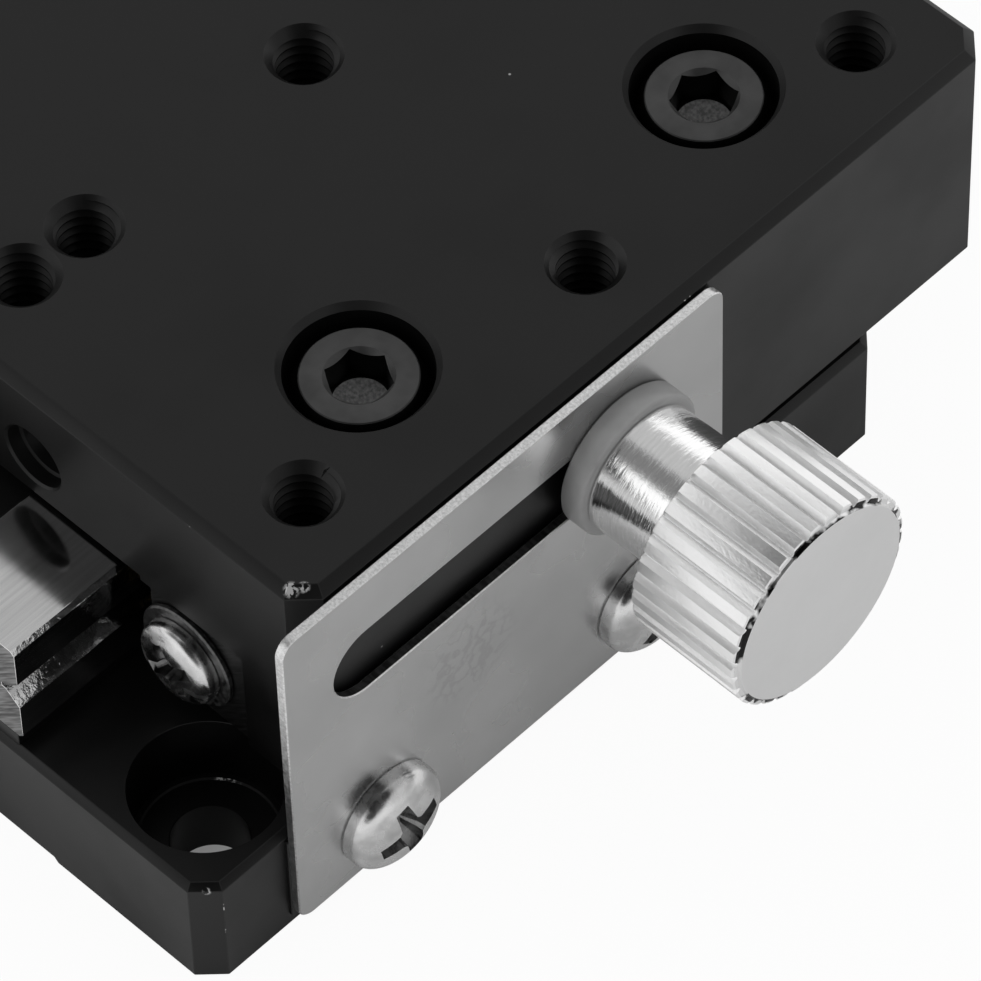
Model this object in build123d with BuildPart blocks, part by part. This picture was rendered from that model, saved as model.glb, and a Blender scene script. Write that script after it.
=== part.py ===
from build123d import *
from math import sqrt
import os

os.makedirs("parts", exist_ok=True)

# Crossed roller linear stage. Sizes in millimetres. The origin is the middle of the
# base's underside, X is the travel, Y points away from the lock, Z is up.
# "Right" pieces lie at -Y and "left" pieces at +Y.

# Base plate and table
stage_length = 40.0
stage_width = 40.0
base_thick = 6.5
base_corner = 1.0
base_bevel = 0.3
foot_relief_width = 22.7
foot_relief_depth = 0.55
table_gap = 0.7
web_thick = 7.0
table_corner = 1.1
table_bevel = 0.45
leg_bevel = 0.2
travel = 6.5
parked = 6.3

# Crossed roller guide
rail_inset = 0.25
rail_width = 5.5
rail_height = 5.8
rail_line = 10.0
rail_gap = 1.3
rail_edge = 0.2
roller_size = 2.0
roller_play = 0.02
roller_length = 1.9
roller_pitch = 4.0
roller_count = 7
cage_thick = 0.8
cage_height = 4.4
cage_end = 1.8
window_play = 0.08
web_relief = 0.3
pad_inset = 0.3
rib_drop = 1.0

# Rail screws, and the recess that hides each head
rail_screw_inset = 2.45
rail_screw_pitch = 20.0
rail_screw_length = 8.0
recess_diameter = 6.5
table_recess_diameter = 6.2
recess_depth = 3.6
clearance_m3 = 3.4

# Cap screws: thread, head, head height, key and socket depth
m3 = 3.0
m3_head = 5.5
m3_head_height = 3.0
m3_key = 2.5
m3_socket = 1.4
m25 = 2.5
m25_head = 4.5
m25_head_height = 2.5
m25_key = 2.0
m25_socket = 1.1
m2 = 2.0
m2_head = 3.8
m2_head_height = 2.0
m2_key = 1.5
m2_socket = 1.0

# Mounting holes of the base and tapped holes of the table
mount_pitch = 32.0
inner_pitch = 25.0
tap_m3 = 2.5
tap_depth = 5.5

# Stops on the ends of the outer rails
stop_inset = 2.15
stop_washer_diameter = 5.0
stop_washer_thick = 0.3
stop_head = 4.0
stop_head_height = 1.2
stop_screw_length = 6.0

# Set screws that press one outer rail sideways
preload_pitch = 17.0
preload_length = 3.0
preload_key = 1.5

# Lock: slotted plate, washer and thumbscrew
lock_x = -3.0
plate_length = 25.0
plate_drop = 0.45
plate_thick = 0.45
plate_bottom = 0.9
plate_corner = 0.8
plate_land = 0.15
land_margin = 0.5
slot_margin = 1.5
slot_height = 3.7
lock_drop = 5.4
plate_screw_pitch = 15.0
plate_screw_z = 3.7
plate_screw_head = 5.0
plate_screw_head_height = 1.65
plate_screw_length = 5.0
washer_diameter = 6.8
washer_thick = 1.2
washer_bore = 3.2
neck_diameter = 6.0
neck_length = 4.2
knob_diameter = 10.0
knob_length = 5.75
knob_nose = 0.6
knob_bevel = 0.2
knurl_count = 33
knurl_depth = 0.32
shank_diameter = 2.9
shank_engagement = 5.2
lock_hole_depth = 6.0

# Return springs, their pins and their post
spring_y = 4.4
spring_rise = 2.7
spring_bore = 3.1
spring_diameter = 2.6
spring_wire = 0.36
spring_loop = 1.1
pin_diameter = 1.0
table_pin_inset = 1.8
table_pin_length = 4.9
post_x = 10.2
post_length = 3.0
post_width = 4.4
post_cap = 1.2
post_thread = 3.0
cross_pin_end = 1.5
pocket_side = 0.4
pocket_height = 4.6
pocket_play = 0.3
pocket_corner = 1.5
post_recess_diameter = 4.8
post_recess_depth = 2.9

# Micrometer head and its bracket
mic_offset = 7.0
mic_z = 9.5
bracket_x = 8.5
bracket_length = 10.0
bracket_gap = 0.5
bracket_side = 6.5
bracket_drop = 0.4
bracket_bottom = 0.4
bracket_round = 4.0
bracket_bevel = 0.4
foot_x = -9.0
foot_thick = 3.0
foot_drop = 0.1
foot_screw_x = -1.0
foot_screw_pitch = 10.0
foot_screw_length = 8.0
foot_screw_z = 3.3
slit_width = 1.0
clamp_drop = 2.65
clamp_screw_length = 10.0
clamp_recess = 4.2
clamp_recess_depth = 2.2
stem_diameter = 9.5
stem_front = 0.5
stem_bevel = 0.3
collar_diameter = 10.8
collar_length = 1.2
barrel_diameter = 9.3
barrel_play = 0.2
guide_length = 4.0
spindle_diameter = 3.5
thread_diameter = 5.0
running_play = 0.05
thread_play = 0.1
thimble_play = 0.1
thimble_front = 33.8
thimble_diameter = 13.0
thimble_lip = 0.35
thimble_cone = 2.8
thimble_floor = 50.5
thimble_end = 53.0
grip_end = 52.2
end_bevel = 0.5
spigot_radius = 4.4
spigot_length = 0.8
flange_radius = 3.5
flange_thick = 1.2
journal_radius = 2.0
end_head_radius = 2.8
end_head_thick = 0.7
end_gap = 0.1
end_screw_radius = 1.0
end_screw_length = 4.0
cap_radius = 5.0
cap_length = 4.0
cap_recess_radius = 3.1
cap_recess_depth = 1.4

# Anvil on the table, which the spindle pushes
anvil_start = -14.0
anvil_end = -3.0
anvil_thick = 3.5
anvil_past = 3.0
anvil_drop = 2.6
anvil_arm = 5.0
anvil_edge = 0.4
anvil_screw_inset = 2.0
anvil_screw_drop = 2.5
anvil_screw_length = 8.0
anvil_pin_diameter = 3.0
anvil_pin_length = 5.0
anvil_head_diameter = 4.6
anvil_head_thick = 0.7
tip_gap = 0.02

# Levels and lines that follow from the sizes above
table_bottom = base_thick + table_gap
web_bottom = table_bottom + rail_height
table_top = web_bottom + web_thick
relief_top = web_bottom + web_relief
rail_mid = table_bottom + rail_height / 2
rib_top = web_bottom - rib_drop
half_length = stage_length / 2
half_width = stage_width / 2
rail_length = stage_length - 2 * rail_inset
table_start = parked - half_length
outer_face = rail_line + rail_gap / 2
inner_face = rail_line - rail_gap / 2
outer_back = outer_face + rail_width
inner_back = inner_face - rail_width
outer_screw_y = outer_face + rail_screw_inset
inner_screw_y = inner_face - rail_screw_inset
vee_depth = (roller_size * sqrt(2) - rail_gap) / 2
stop_y = outer_face + stop_inset
cage_x = parked / 2
cage_length = (roller_count - 1) * roller_pitch + 2 * cage_end
plate_inner = half_width + plate_land
plate_outer = plate_inner + plate_thick
plate_height = table_top - plate_drop - plate_bottom
slot_span = 2 * (travel + slot_margin)
lock_z = table_top - lock_drop
knob_x = lock_x + parked
spring_z = web_bottom + spring_rise
post_height = spring_z + post_cap - rib_top
cross_pin_length = 2 * (spring_y + cross_pin_end)
pocket_width = cross_pin_length + 2 * pocket_side
pocket_top = web_bottom + pocket_height
table_pin_x = table_start + table_pin_inset
mic_y = half_width + mic_offset
bracket_inner = half_width + bracket_gap
bracket_outer = mic_y + bracket_side
bracket_top = table_top - bracket_drop
foot_top = base_thick - foot_drop
clamp_z = bracket_top - clamp_drop
anvil_reach = mic_offset + anvil_past
anvil_top = table_top - anvil_drop
anvil_screw_z = anvil_top - anvil_screw_drop
anvil_face = parked + anvil_end + anvil_head_thick
tip_x = anvil_face + tip_gap
journal_start = thimble_floor - end_gap
journal_end = thimble_end + end_gap
barrel_end = journal_start - flange_thick - 2 * travel - barrel_play


def facing(x, y, z, direction):
    """Plane at a point whose normal looks out of the surface that is drilled."""
    across = (0, 1, 0) if direction[0] else (1, 0, 0)
    return Plane(origin=(x, y, z), x_dir=across, z_dir=direction)


def cap_screw(thread, length, head, head_height, key, socket):
    """Socket head cap screw with its head standing on Z = 0."""
    with BuildPart() as screw:
        with BuildSketch(Plane.XY):
            Circle(head / 2)
        extrude(amount=head_height)
        with BuildSketch(Plane.XY.offset(head_height)):
            RegularPolygon(key / 2, 6, major_radius=False)
        extrude(amount=-socket, mode=Mode.SUBTRACT)
        with BuildSketch(Plane.XY):
            Circle(thread / 2)
        extrude(amount=-length)
    return screw.part


def pan_screw(thread, length, head, head_height):
    """Cross recess pan head screw with its head standing on Z = 0."""
    side = head_height * 0.35
    with BuildPart() as screw:
        with BuildSketch(Plane.XZ):
            with BuildLine():
                Polyline((0, head_height), (0, -length), (thread / 2, -length), (thread / 2, 0))
                Polyline((thread / 2, 0), (head / 2, 0), (head / 2, side))
                Polyline((head / 2, side), (head * 0.3, head_height), (0, head_height))
            make_face()
        revolve(axis=Axis.Z)
        with BuildSketch(Plane.XY.offset(head_height)):
            Rectangle(head * 0.56, head * 0.13)
            Rectangle(head * 0.13, head * 0.56)
        extrude(amount=-head_height * 0.6, mode=Mode.SUBTRACT)
    return screw.part


def set_screw(thread, length, key):
    """Socket set screw that lies below Z = 0."""
    with BuildPart() as screw:
        with BuildSketch(Plane.XY):
            Circle(thread / 2)
        extrude(amount=-length)
        with BuildSketch(Plane.XY):
            RegularPolygon(key / 2, 6, major_radius=False)
        extrude(amount=-length / 2, mode=Mode.SUBTRACT)
    return screw.part


def keep(builder, name):
    """Label a finished piece and write its file."""
    builder.part.label = name
    export_step(builder.part, f"parts/{name}.step")


# Base plate: a pad and a rib carry the inner rails, and a thin land carries the lock plate
with BuildPart() as base_plate:
    with BuildSketch(Plane.XY):
        Rectangle(stage_length, stage_width)
    extrude(amount=base_thick)
    uprights = base_plate.edges().filter_by(Axis.Z)
    chamfer(uprights, base_corner)
    flats = base_plate.faces().filter_by(Axis.Z)
    chamfer(flats.edges(), base_bevel)
    with BuildSketch(Plane.XZ.offset(half_width)):
        with Locations((lock_x, (plate_bottom + base_thick - land_margin) / 2)):
            Rectangle(plate_length, base_thick - land_margin - plate_bottom)
    extrude(amount=plate_land)
    with BuildSketch(Plane.XY.offset(base_thick)):
        Rectangle(rail_length, 2 * (inner_face - pad_inset))
    extrude(amount=table_gap)
    with BuildSketch(Plane.XY.offset(table_bottom)):
        Rectangle(rail_length, 2 * inner_back)
    extrude(amount=rib_top - table_bottom)
    with BuildSketch(Plane.YZ.offset(-half_length)):
        with Locations((0, foot_relief_depth / 2)):
            Trapezoid(foot_relief_width, foot_relief_depth, 45)
    extrude(amount=stage_length, mode=Mode.SUBTRACT)
    with BuildSketch(Plane.XY.offset(base_thick)):
        with GridLocations(mount_pitch, mount_pitch, 2, 2):
            Circle(recess_diameter / 2)
    extrude(amount=-recess_depth, mode=Mode.SUBTRACT)
    with Locations(Plane.XY.offset(base_thick)):
        with GridLocations(mount_pitch, mount_pitch, 2, 2):
            Hole(clearance_m3 / 2, depth=base_thick)
    with Locations(facing(0, 0, 0, (0, 0, -1))):
        with GridLocations(rail_screw_pitch, 2 * inner_screw_y, 2, 2):
            CounterBoreHole(clearance_m3 / 2, recess_diameter / 2, recess_depth, depth=table_bottom)
    with Locations(facing(post_x, 0, 0, (0, 0, -1))):
        CounterBoreHole(post_thread / 2, post_recess_diameter / 2, post_recess_depth, depth=rib_top)
    with Locations(facing(lock_x, -plate_inner, plate_screw_z, (0, -1, 0))):
        with GridLocations(plate_screw_pitch, 1, 2, 1):
            Hole(m25 / 2, depth=plate_screw_length)
    with Locations(facing(foot_screw_x, half_width, foot_screw_z, (0, 1, 0))):
        with GridLocations(foot_screw_pitch, 1, 2, 1):
            Hole(m3 / 2, depth=foot_screw_length - foot_thick + 1)
keep(base_plate, "base_plate")


def vee_rail(face, back, middle):
    """V rail whose groove opens at the face line, centred on one X."""
    inward = 1 if back > face else -1
    screw_y = face + inward * rail_screw_inset
    with BuildPart() as rail:
        with BuildSketch(Plane.YZ.offset(middle)):
            with BuildLine():
                Polyline(
                    (face, rail_mid + vee_depth),
                    (face, rail_mid + rail_height / 2),
                    (back, rail_mid + rail_height / 2),
                    (back, rail_mid - rail_height / 2),
                    (face, rail_mid - rail_height / 2),
                    (face, rail_mid - vee_depth),
                    (face + inward * vee_depth, rail_mid),
                    close=True,
                )
            make_face()
        extrude(amount=rail_length / 2, both=True)
        long_edges = rail.edges().filter_by(Axis.X)
        chamfer(long_edges.group_by(Axis.Z)[0] + long_edges.group_by(Axis.Z)[-1], rail_edge)
        with Locations(facing(middle, screw_y, rail_mid + rail_height / 2, (0, 0, 1))):
            with GridLocations(rail_screw_pitch, 1, 2, 1):
                Hole(m3 / 2, depth=rail_height)
    return rail


# Inner rails: ground steel, seated on the base's pad against its rib
for side, name in ((1, "inner_rail_left"), (-1, "inner_rail_right")):
    inner_rail = vee_rail(side * inner_face, side * inner_back, 0)
    keep(inner_rail, name)

# Outer rails: the same section turned to face them, drilled at both ends for the stop screws
for side, name in ((1, "outer_rail_left"), (-1, "outer_rail_right")):
    with BuildPart() as outer_rail:
        add(vee_rail(side * outer_face, side * outer_back, parked).part)
        for end in (1, -1):
            with Locations(facing(parked + end * rail_length / 2, side * stop_y, rail_mid, (end, 0, 0))):
                Hole(m2 / 2, depth=stop_screw_length)
    keep(outer_rail, name)

# Inner rail screws come up from recesses under the base
rail_screw = cap_screw(m3, rail_screw_length, m3_head, m3_head_height, m3_key, m3_socket)
with BuildPart() as base_rail_screws:
    with Locations(facing(0, 0, recess_depth, (0, 0, -1))):
        with GridLocations(rail_screw_pitch, 2 * inner_screw_y, 2, 2):
            add(rail_screw)
keep(base_rail_screws, "base_rail_screws")

# Rollers lie at 45 degrees in the grooves, and each is crossed with the next
for side, name in ((1, "rollers_left"), (-1, "rollers_right")):
    with BuildPart() as rollers:
        for index in range(roller_count):
            roller_x = cage_x + (index - (roller_count - 1) / 2) * roller_pitch
            lean = 1 if index % 2 else -1
            with BuildSketch(facing(roller_x, side * rail_line, rail_mid, (0, lean, 1))):
                Circle(roller_size / 2 - roller_play)
            extrude(amount=roller_length / 2, both=True)
    keep(rollers, name)

# Cages: one thin brass strip in each gap, with a window for every roller
for side, name in ((1, "roller_cage_left"), (-1, "roller_cage_right")):
    with BuildPart() as roller_cage:
        with BuildSketch(Plane.XZ.offset(-side * rail_line)):
            with Locations((cage_x, rail_mid)):
                Rectangle(cage_length, cage_height)
                with GridLocations(roller_pitch, 1, roller_count, 1):
                    window_height = (roller_size + roller_length) / sqrt(2) + 2 * window_play
                    Rectangle(roller_size + 2 * window_play, window_height, mode=Mode.SUBTRACT)
        extrude(amount=cage_thick / 2, both=True)
    keep(roller_cage, name)

# Table: an inverted U that holds the outer rails and is bored for the springs
with BuildPart() as table:
    with BuildSketch(Plane.YZ.offset(parked)):
        with Locations((0, (table_bottom + table_top) / 2)):
            Rectangle(stage_width, table_top - table_bottom)
        with Locations((0, (table_bottom + web_bottom) / 2)):
            Rectangle(2 * outer_back, rail_height, mode=Mode.SUBTRACT)
        with Locations((0, (web_bottom + relief_top) / 2)):
            Rectangle(2 * (outer_face - pad_inset), web_relief, mode=Mode.SUBTRACT)
    extrude(amount=half_length, both=True)
    uprights = table.edges().filter_by(Axis.Z)
    chamfer(uprights.group_by(Axis.Y)[0] + uprights.group_by(Axis.Y)[-1], table_corner)
    chamfer(table.faces().sort_by(Axis.Z)[-1].edges(), table_bevel)
    low_edges = table.edges().filter_by(Axis.X).group_by(Axis.Z)[0]
    chamfer(low_edges.sort_by(Axis.Y)[0], leg_bevel)
    low_edges = table.edges().filter_by(Axis.X).group_by(Axis.Z)[0]
    chamfer(low_edges.sort_by(Axis.Y)[-1], leg_bevel)
    with BuildSketch(Plane(origin=(post_x, 0, web_bottom))):
        pocket_length = 2 * (travel + post_length / 2 + pocket_play)
        with Locations((parked, 0)):
            RectangleRounded(pocket_length, pocket_width, pocket_corner)
    extrude(amount=pocket_top - web_bottom, mode=Mode.SUBTRACT)
    pocket_start = post_x + parked - pocket_length / 2
    for side in (1, -1):
        with Locations(facing(table_start, side * spring_y, spring_z, (-1, 0, 0))):
            Hole(spring_bore / 2, depth=pocket_start - table_start + pocket_corner)
        with Locations(facing(table_pin_x, side * spring_y, relief_top, (0, 0, -1))):
            Hole(pin_diameter / 2, depth=table_pin_length)
    with Locations(Plane(origin=(parked, 0, table_top))):
        with GridLocations(rail_screw_pitch, 2 * outer_screw_y, 2, 2):
            CounterBoreHole(clearance_m3 / 2, table_recess_diameter / 2, recess_depth, depth=web_thick)
    with Locations(Plane(origin=(parked, 0, table_top))):
        with GridLocations(mount_pitch / 2, mount_pitch / 2, 3, 3):
            Hole(tap_m3 / 2, depth=tap_depth)
        with GridLocations(inner_pitch, 1, 2, 1):
            Hole(tap_m3 / 2, depth=tap_depth)
    with Locations(facing(knob_x, -half_width, lock_z, (0, -1, 0))):
        Hole(m3 / 2, depth=lock_hole_depth)
    with Locations(facing(parked, half_width, rail_mid, (0, 1, 0))):
        with GridLocations(preload_pitch, 1, 3, 1):
            Hole(m3 / 2, depth=half_width - outer_back)
    anvil_middle = parked + (anvil_start + anvil_end) / 2
    anvil_screw_pitch = anvil_end - anvil_start - 2 * anvil_screw_inset
    with Locations(facing(anvil_middle, half_width, anvil_screw_z, (0, 1, 0))):
        with GridLocations(anvil_screw_pitch, 1, 2, 1):
            Hole(m25 / 2, depth=anvil_screw_length - anvil_thick + 0.5)
keep(table, "table")

# Outer rail screws go down through the web and are hidden in its recesses
with BuildPart() as table_rail_screws:
    with Locations(Plane(origin=(parked, 0, table_top - recess_depth))):
        with GridLocations(rail_screw_pitch, 2 * outer_screw_y, 2, 2):
            add(rail_screw)
keep(table_rail_screws, "table_rail_screws")

# Stop screws and washers overhang the groove, so a cage can't leave its rails
stop_face = rail_length / 2
with BuildPart() as rail_end_washers:
    for side in (1, -1):
        for end in (1, -1):
            with BuildSketch(facing(parked + end * stop_face, side * stop_y, rail_mid, (end, 0, 0))):
                Circle(stop_washer_diameter / 2)
                Circle(m2 / 2, mode=Mode.SUBTRACT)
            extrude(amount=stop_washer_thick)
keep(rail_end_washers, "rail_end_washers")

stop_screw = pan_screw(m2, stop_screw_length, stop_head, stop_head_height)
with BuildPart() as rail_end_screws:
    for side in (1, -1):
        for end in (1, -1):
            seat = parked + end * (stop_face + stop_washer_thick)
            with Locations(facing(seat, side * stop_y, rail_mid, (end, 0, 0))):
                add(stop_screw)
keep(rail_end_screws, "rail_end_screws")

# Set screws through the left leg press that outer rail and take up the play of the rollers
with BuildPart() as preload_set_screws:
    with Locations(facing(parked, outer_back + preload_length, rail_mid, (0, 1, 0))):
        with GridLocations(preload_pitch, 1, 3, 1):
            add(set_screw(m3, preload_length, preload_key))
keep(preload_set_screws, "preload_set_screws")

# Lock plate: brushed sheet on the base's side, slotted along the travel
with BuildPart() as lock_plate:
    with BuildSketch(Plane.XZ.offset(plate_inner)):
        with Locations((lock_x, plate_bottom + plate_height / 2)):
            RectangleRounded(plate_length, plate_height, plate_corner)
        with Locations((lock_x, lock_z)):
            SlotCenterToCenter(slot_span, slot_height, mode=Mode.SUBTRACT)
        with Locations((lock_x, plate_screw_z)):
            with GridLocations(plate_screw_pitch, 1, 2, 1):
                Circle(m25 / 2, mode=Mode.SUBTRACT)
    extrude(amount=plate_thick)
keep(lock_plate, "lock_plate")

plate_screw = pan_screw(m25, plate_screw_length, plate_screw_head, plate_screw_head_height)
with BuildPart() as lock_plate_screws:
    with Locations(facing(lock_x, -plate_outer, plate_screw_z, (0, -1, 0))):
        with GridLocations(plate_screw_pitch, 1, 2, 1):
            add(plate_screw)
keep(lock_plate_screws, "lock_plate_screws")

# Nylon washer between the plate and the thumbscrew's neck
with BuildPart() as lock_washer:
    with BuildSketch(facing(knob_x, -plate_outer, lock_z, (0, -1, 0))):
        Circle(washer_diameter / 2)
        Circle(washer_bore / 2, mode=Mode.SUBTRACT)
    extrude(amount=washer_thick)
keep(lock_washer, "lock_washer")

# Thumbscrew: turned in one piece from shank to straight knurled head
neck_foot = plate_outer + washer_thick
with BuildPart() as lock_thumbscrew:
    with BuildSketch(facing(knob_x, -neck_foot, lock_z, (0, -1, 0))):
        Circle(neck_diameter / 2)
    extrude(amount=neck_length)
    chamfer(lock_thumbscrew.edges().group_by(Axis.Y)[-1], knob_bevel / 2)
    with BuildSketch(facing(knob_x, -neck_foot - neck_length, lock_z, (0, -1, 0))):
        Circle(knob_diameter / 2)
    extrude(amount=knob_length)
    head_edges = lock_thumbscrew.edges().filter_by(GeomType.CIRCLE)
    head_edges = head_edges.filter_by(lambda edge: abs(edge.radius - knob_diameter / 2) < 0.01)
    chamfer(head_edges.sort_by(Axis.Y)[0], knob_nose)
    chamfer(head_edges.sort_by(Axis.Y)[-1], knob_bevel)
    with BuildSketch(facing(knob_x, -neck_foot - neck_length, lock_z, (0, -1, 0))):
        with PolarLocations(knob_diameter / 2, knurl_count):
            Rectangle(2 * knurl_depth, 2 * knurl_depth, rotation=45)
    extrude(amount=knob_length, mode=Mode.SUBTRACT)
    with BuildSketch(facing(knob_x, -neck_foot, lock_z, (0, -1, 0))):
        Circle(shank_diameter / 2)
    extrude(amount=-(neck_foot - half_width + shank_engagement))
keep(lock_thumbscrew, "lock_thumbscrew")

# Spring pins are pressed up into the web, across the spring bores
with BuildPart() as table_spring_pins:
    with BuildSketch(Plane(origin=(table_pin_x, 0, relief_top))):
        with GridLocations(1, 2 * spring_y, 1, 2):
            Circle(pin_diameter / 2)
    extrude(amount=table_pin_length)
keep(table_spring_pins, "table_spring_pins")

# Spring post: stands on the base's rib and holds the cross pin inside the web's pocket
with BuildPart() as spring_post:
    with BuildSketch(Plane(origin=(post_x, 0, rib_top))):
        Rectangle(post_length, post_width)
    extrude(amount=post_height)
    chamfer(spring_post.edges().group_by(Axis.Z)[-1], pin_diameter / 4)
    with Locations(facing(post_x, post_width / 2, spring_z, (0, 1, 0))):
        Hole(pin_diameter / 2, depth=post_width)
    with Locations(facing(post_x, 0, rib_top, (0, 0, -1))):
        Hole(m25 / 2, depth=post_height / 2)
keep(spring_post, "spring_post")

with BuildPart() as spring_cross_pin:
    with BuildSketch(facing(post_x, 0, spring_z, (0, 1, 0))):
        Circle(pin_diameter / 2)
    extrude(amount=cross_pin_length / 2, both=True)
keep(spring_cross_pin, "spring_cross_pin")

post_screw_length = rib_top - post_recess_depth + post_height / 2
post_screw = cap_screw(m25, post_screw_length, m25_head, m25_head_height, m25_key, m25_socket)
with BuildPart() as spring_post_screw:
    with Locations(facing(post_x, 0, post_recess_depth, (0, 0, -1))):
        add(post_screw)
keep(spring_post_screw, "spring_post_screw")

# Return springs: close wound, with a loop at each end round its pin
loop_reach = spring_loop - spring_wire / 2 - pin_diameter / 2
coil_start = table_pin_x + loop_reach + spring_loop
coil_end = post_x - loop_reach - spring_loop
for side, name in ((1, "return_spring_left"), (-1, "return_spring_right")):
    with BuildPart() as return_spring:
        with BuildSketch(facing(coil_start, side * spring_y, spring_z, (1, 0, 0))):
            Circle(spring_diameter / 2)
        extrude(amount=coil_end - coil_start)
        for loop_x, across in ((table_pin_x + loop_reach, (0, 0, 1)), (post_x - loop_reach, (0, 1, 0))):
            with BuildSketch(facing(loop_x, side * spring_y, spring_z, across)):
                Circle(spring_loop + spring_wire / 2)
                Circle(spring_loop - spring_wire / 2, mode=Mode.SUBTRACT)
            extrude(amount=spring_wire / 2, both=True)
    keep(return_spring, name)

# Micrometer bracket: a foot on the base's side and a split block that grips the stem
with BuildPart() as micrometer_bracket:
    with BuildSketch(Plane.YZ.offset(bracket_x)):
        with Locations(((bracket_inner + bracket_outer) / 2, (bracket_bottom + bracket_top) / 2)):
            Rectangle(bracket_outer - bracket_inner, bracket_top - bracket_bottom)
        low_corner = vertices().group_by(Axis.Y)[0].sort_by(Axis.X)[-1]
        fillet(low_corner, bracket_round)
    extrude(amount=bracket_length)
    chamfer(micrometer_bracket.edges().group_by(Axis.Z)[-1], bracket_bevel)
    foot_length = bracket_x + bracket_length - foot_x
    with BuildSketch(Plane.XZ.offset(-half_width)):
        with Locations((foot_x + foot_length / 2, (bracket_bottom + foot_top) / 2)):
            Rectangle(foot_length, foot_top - bracket_bottom)
    extrude(amount=-foot_thick)
    with Locations(facing(foot_screw_x, half_width + foot_thick, foot_screw_z, (0, 1, 0))):
        with GridLocations(foot_screw_pitch, 1, 2, 1):
            Hole(clearance_m3 / 2, depth=foot_thick)
    with Locations(facing(bracket_x, mic_y, mic_z, (-1, 0, 0))):
        Hole(stem_diameter / 2, depth=bracket_length)
    with BuildSketch(Plane.YZ.offset(bracket_x)):
        with Locations((mic_y, (mic_z + bracket_top) / 2)):
            Rectangle(slit_width, bracket_top - mic_z)
    extrude(amount=bracket_length, mode=Mode.SUBTRACT)
    with Locations(facing(bracket_x + bracket_length / 2, bracket_outer, clamp_z, (0, 1, 0))):
        CounterBoreHole(m2 / 2, clamp_recess / 2, clamp_recess_depth, depth=bracket_outer - bracket_inner)
keep(micrometer_bracket, "micrometer_bracket")

with BuildPart() as bracket_screws:
    with Locations(facing(foot_screw_x, half_width + foot_thick, foot_screw_z, (0, 1, 0))):
        with GridLocations(foot_screw_pitch, 1, 2, 1):
            add(cap_screw(m3, foot_screw_length, m3_head, m3_head_height, m3_key, m3_socket))
keep(bracket_screws, "bracket_screws")

clamp_seat = bracket_outer - clamp_recess_depth
with BuildPart() as bracket_clamp_screw:
    with Locations(facing(bracket_x + bracket_length / 2, clamp_seat, clamp_z, (0, 1, 0))):
        add(cap_screw(m2, clamp_screw_length, m2_head, m2_head_height, m2_key, m2_socket))
keep(bracket_clamp_screw, "bracket_clamp_screw")

# Micrometer sleeve: stem in the bracket, collar against it and barrel with the scale
stem_start = bracket_x - stem_front
stem_end = bracket_x + bracket_length
mic_axis = Axis((0, mic_y, mic_z), (1, 0, 0))
mic_plane = Plane(origin=(0, mic_y, mic_z), x_dir=(1, 0, 0), z_dir=(0, -1, 0))
with BuildPart() as micrometer_sleeve:
    with BuildSketch(mic_plane):
        with BuildLine():
            Polyline(
                (stem_start, spindle_diameter / 2 + running_play),
                (stem_start, stem_diameter / 2 - stem_bevel),
                (stem_start + stem_bevel, stem_diameter / 2),
                (stem_end, stem_diameter / 2),
                (stem_end, collar_diameter / 2),
                (stem_end + collar_length, collar_diameter / 2),
                (stem_end + collar_length, barrel_diameter / 2),
                (barrel_end, barrel_diameter / 2),
                (barrel_end, thread_diameter / 2 + thread_play),
                (stem_start + guide_length, thread_diameter / 2 + thread_play),
                (stem_start + guide_length, spindle_diameter / 2 + running_play),
                close=True,
            )
        make_face()
    revolve(axis=mic_axis)
keep(micrometer_sleeve, "micrometer_sleeve")

# Spindle: slides in the stem without turning, its thread runs in the barrel
thread_start = stem_start + guide_length + 2 * travel + stem_front
with BuildPart() as micrometer_spindle:
    with BuildSketch(mic_plane):
        with BuildLine():
            Polyline(
                (tip_x, 0),
                (tip_x, spindle_diameter / 2),
                (thread_start, spindle_diameter / 2),
                (thread_start, thread_diameter / 2),
                (journal_start - flange_thick, thread_diameter / 2),
                (journal_start - flange_thick, flange_radius),
                (journal_start, flange_radius),
                (journal_start, journal_radius),
                (journal_end, journal_radius),
                (journal_end, end_screw_radius),
                (journal_end - end_screw_length, end_screw_radius),
                (journal_end - end_screw_length, 0),
                close=True,
            )
        make_face()
    revolve(axis=mic_axis)
keep(micrometer_spindle, "micrometer_spindle")

# Flat head screw in the spindle's end keeps the thimble on its journal
with BuildPart() as spindle_end_screw:
    with BuildSketch(mic_plane):
        with BuildLine():
            Polyline(
                (journal_end - end_screw_length, 0),
                (journal_end - end_screw_length, end_screw_radius),
                (journal_end, end_screw_radius),
                (journal_end, end_head_radius),
                (journal_end + end_head_thick, end_head_radius),
                (journal_end + end_head_thick, 0),
                close=True,
            )
        make_face()
    revolve(axis=mic_axis)
keep(spindle_end_screw, "spindle_end_screw")

# Thimble: runs over the barrel, with a bevelled front for the scale and a grip at the back
thimble_radius = thimble_diameter / 2
bore_radius = barrel_diameter / 2 + thimble_play
head_room = end_head_radius + end_gap
with BuildPart() as thimble:
    with BuildSketch(mic_plane):
        with BuildLine():
            Polyline(
                (thimble_front, bore_radius),
                (thimble_front, bore_radius + thimble_lip),
                (thimble_front + thimble_cone, thimble_radius),
                (grip_end, thimble_radius),
                (grip_end, thimble_radius - end_bevel),
                (thimble_end, thimble_radius - 2 * end_bevel),
                (thimble_end, spigot_radius),
                (thimble_end + spigot_length, spigot_radius),
                (thimble_end + spigot_length, head_room),
                (thimble_end, head_room),
                (thimble_end, journal_radius + running_play),
                (thimble_floor, journal_radius + running_play),
                (thimble_floor, bore_radius),
                close=True,
            )
        make_face()
    revolve(axis=mic_axis)
keep(thimble, "thimble")

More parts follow.
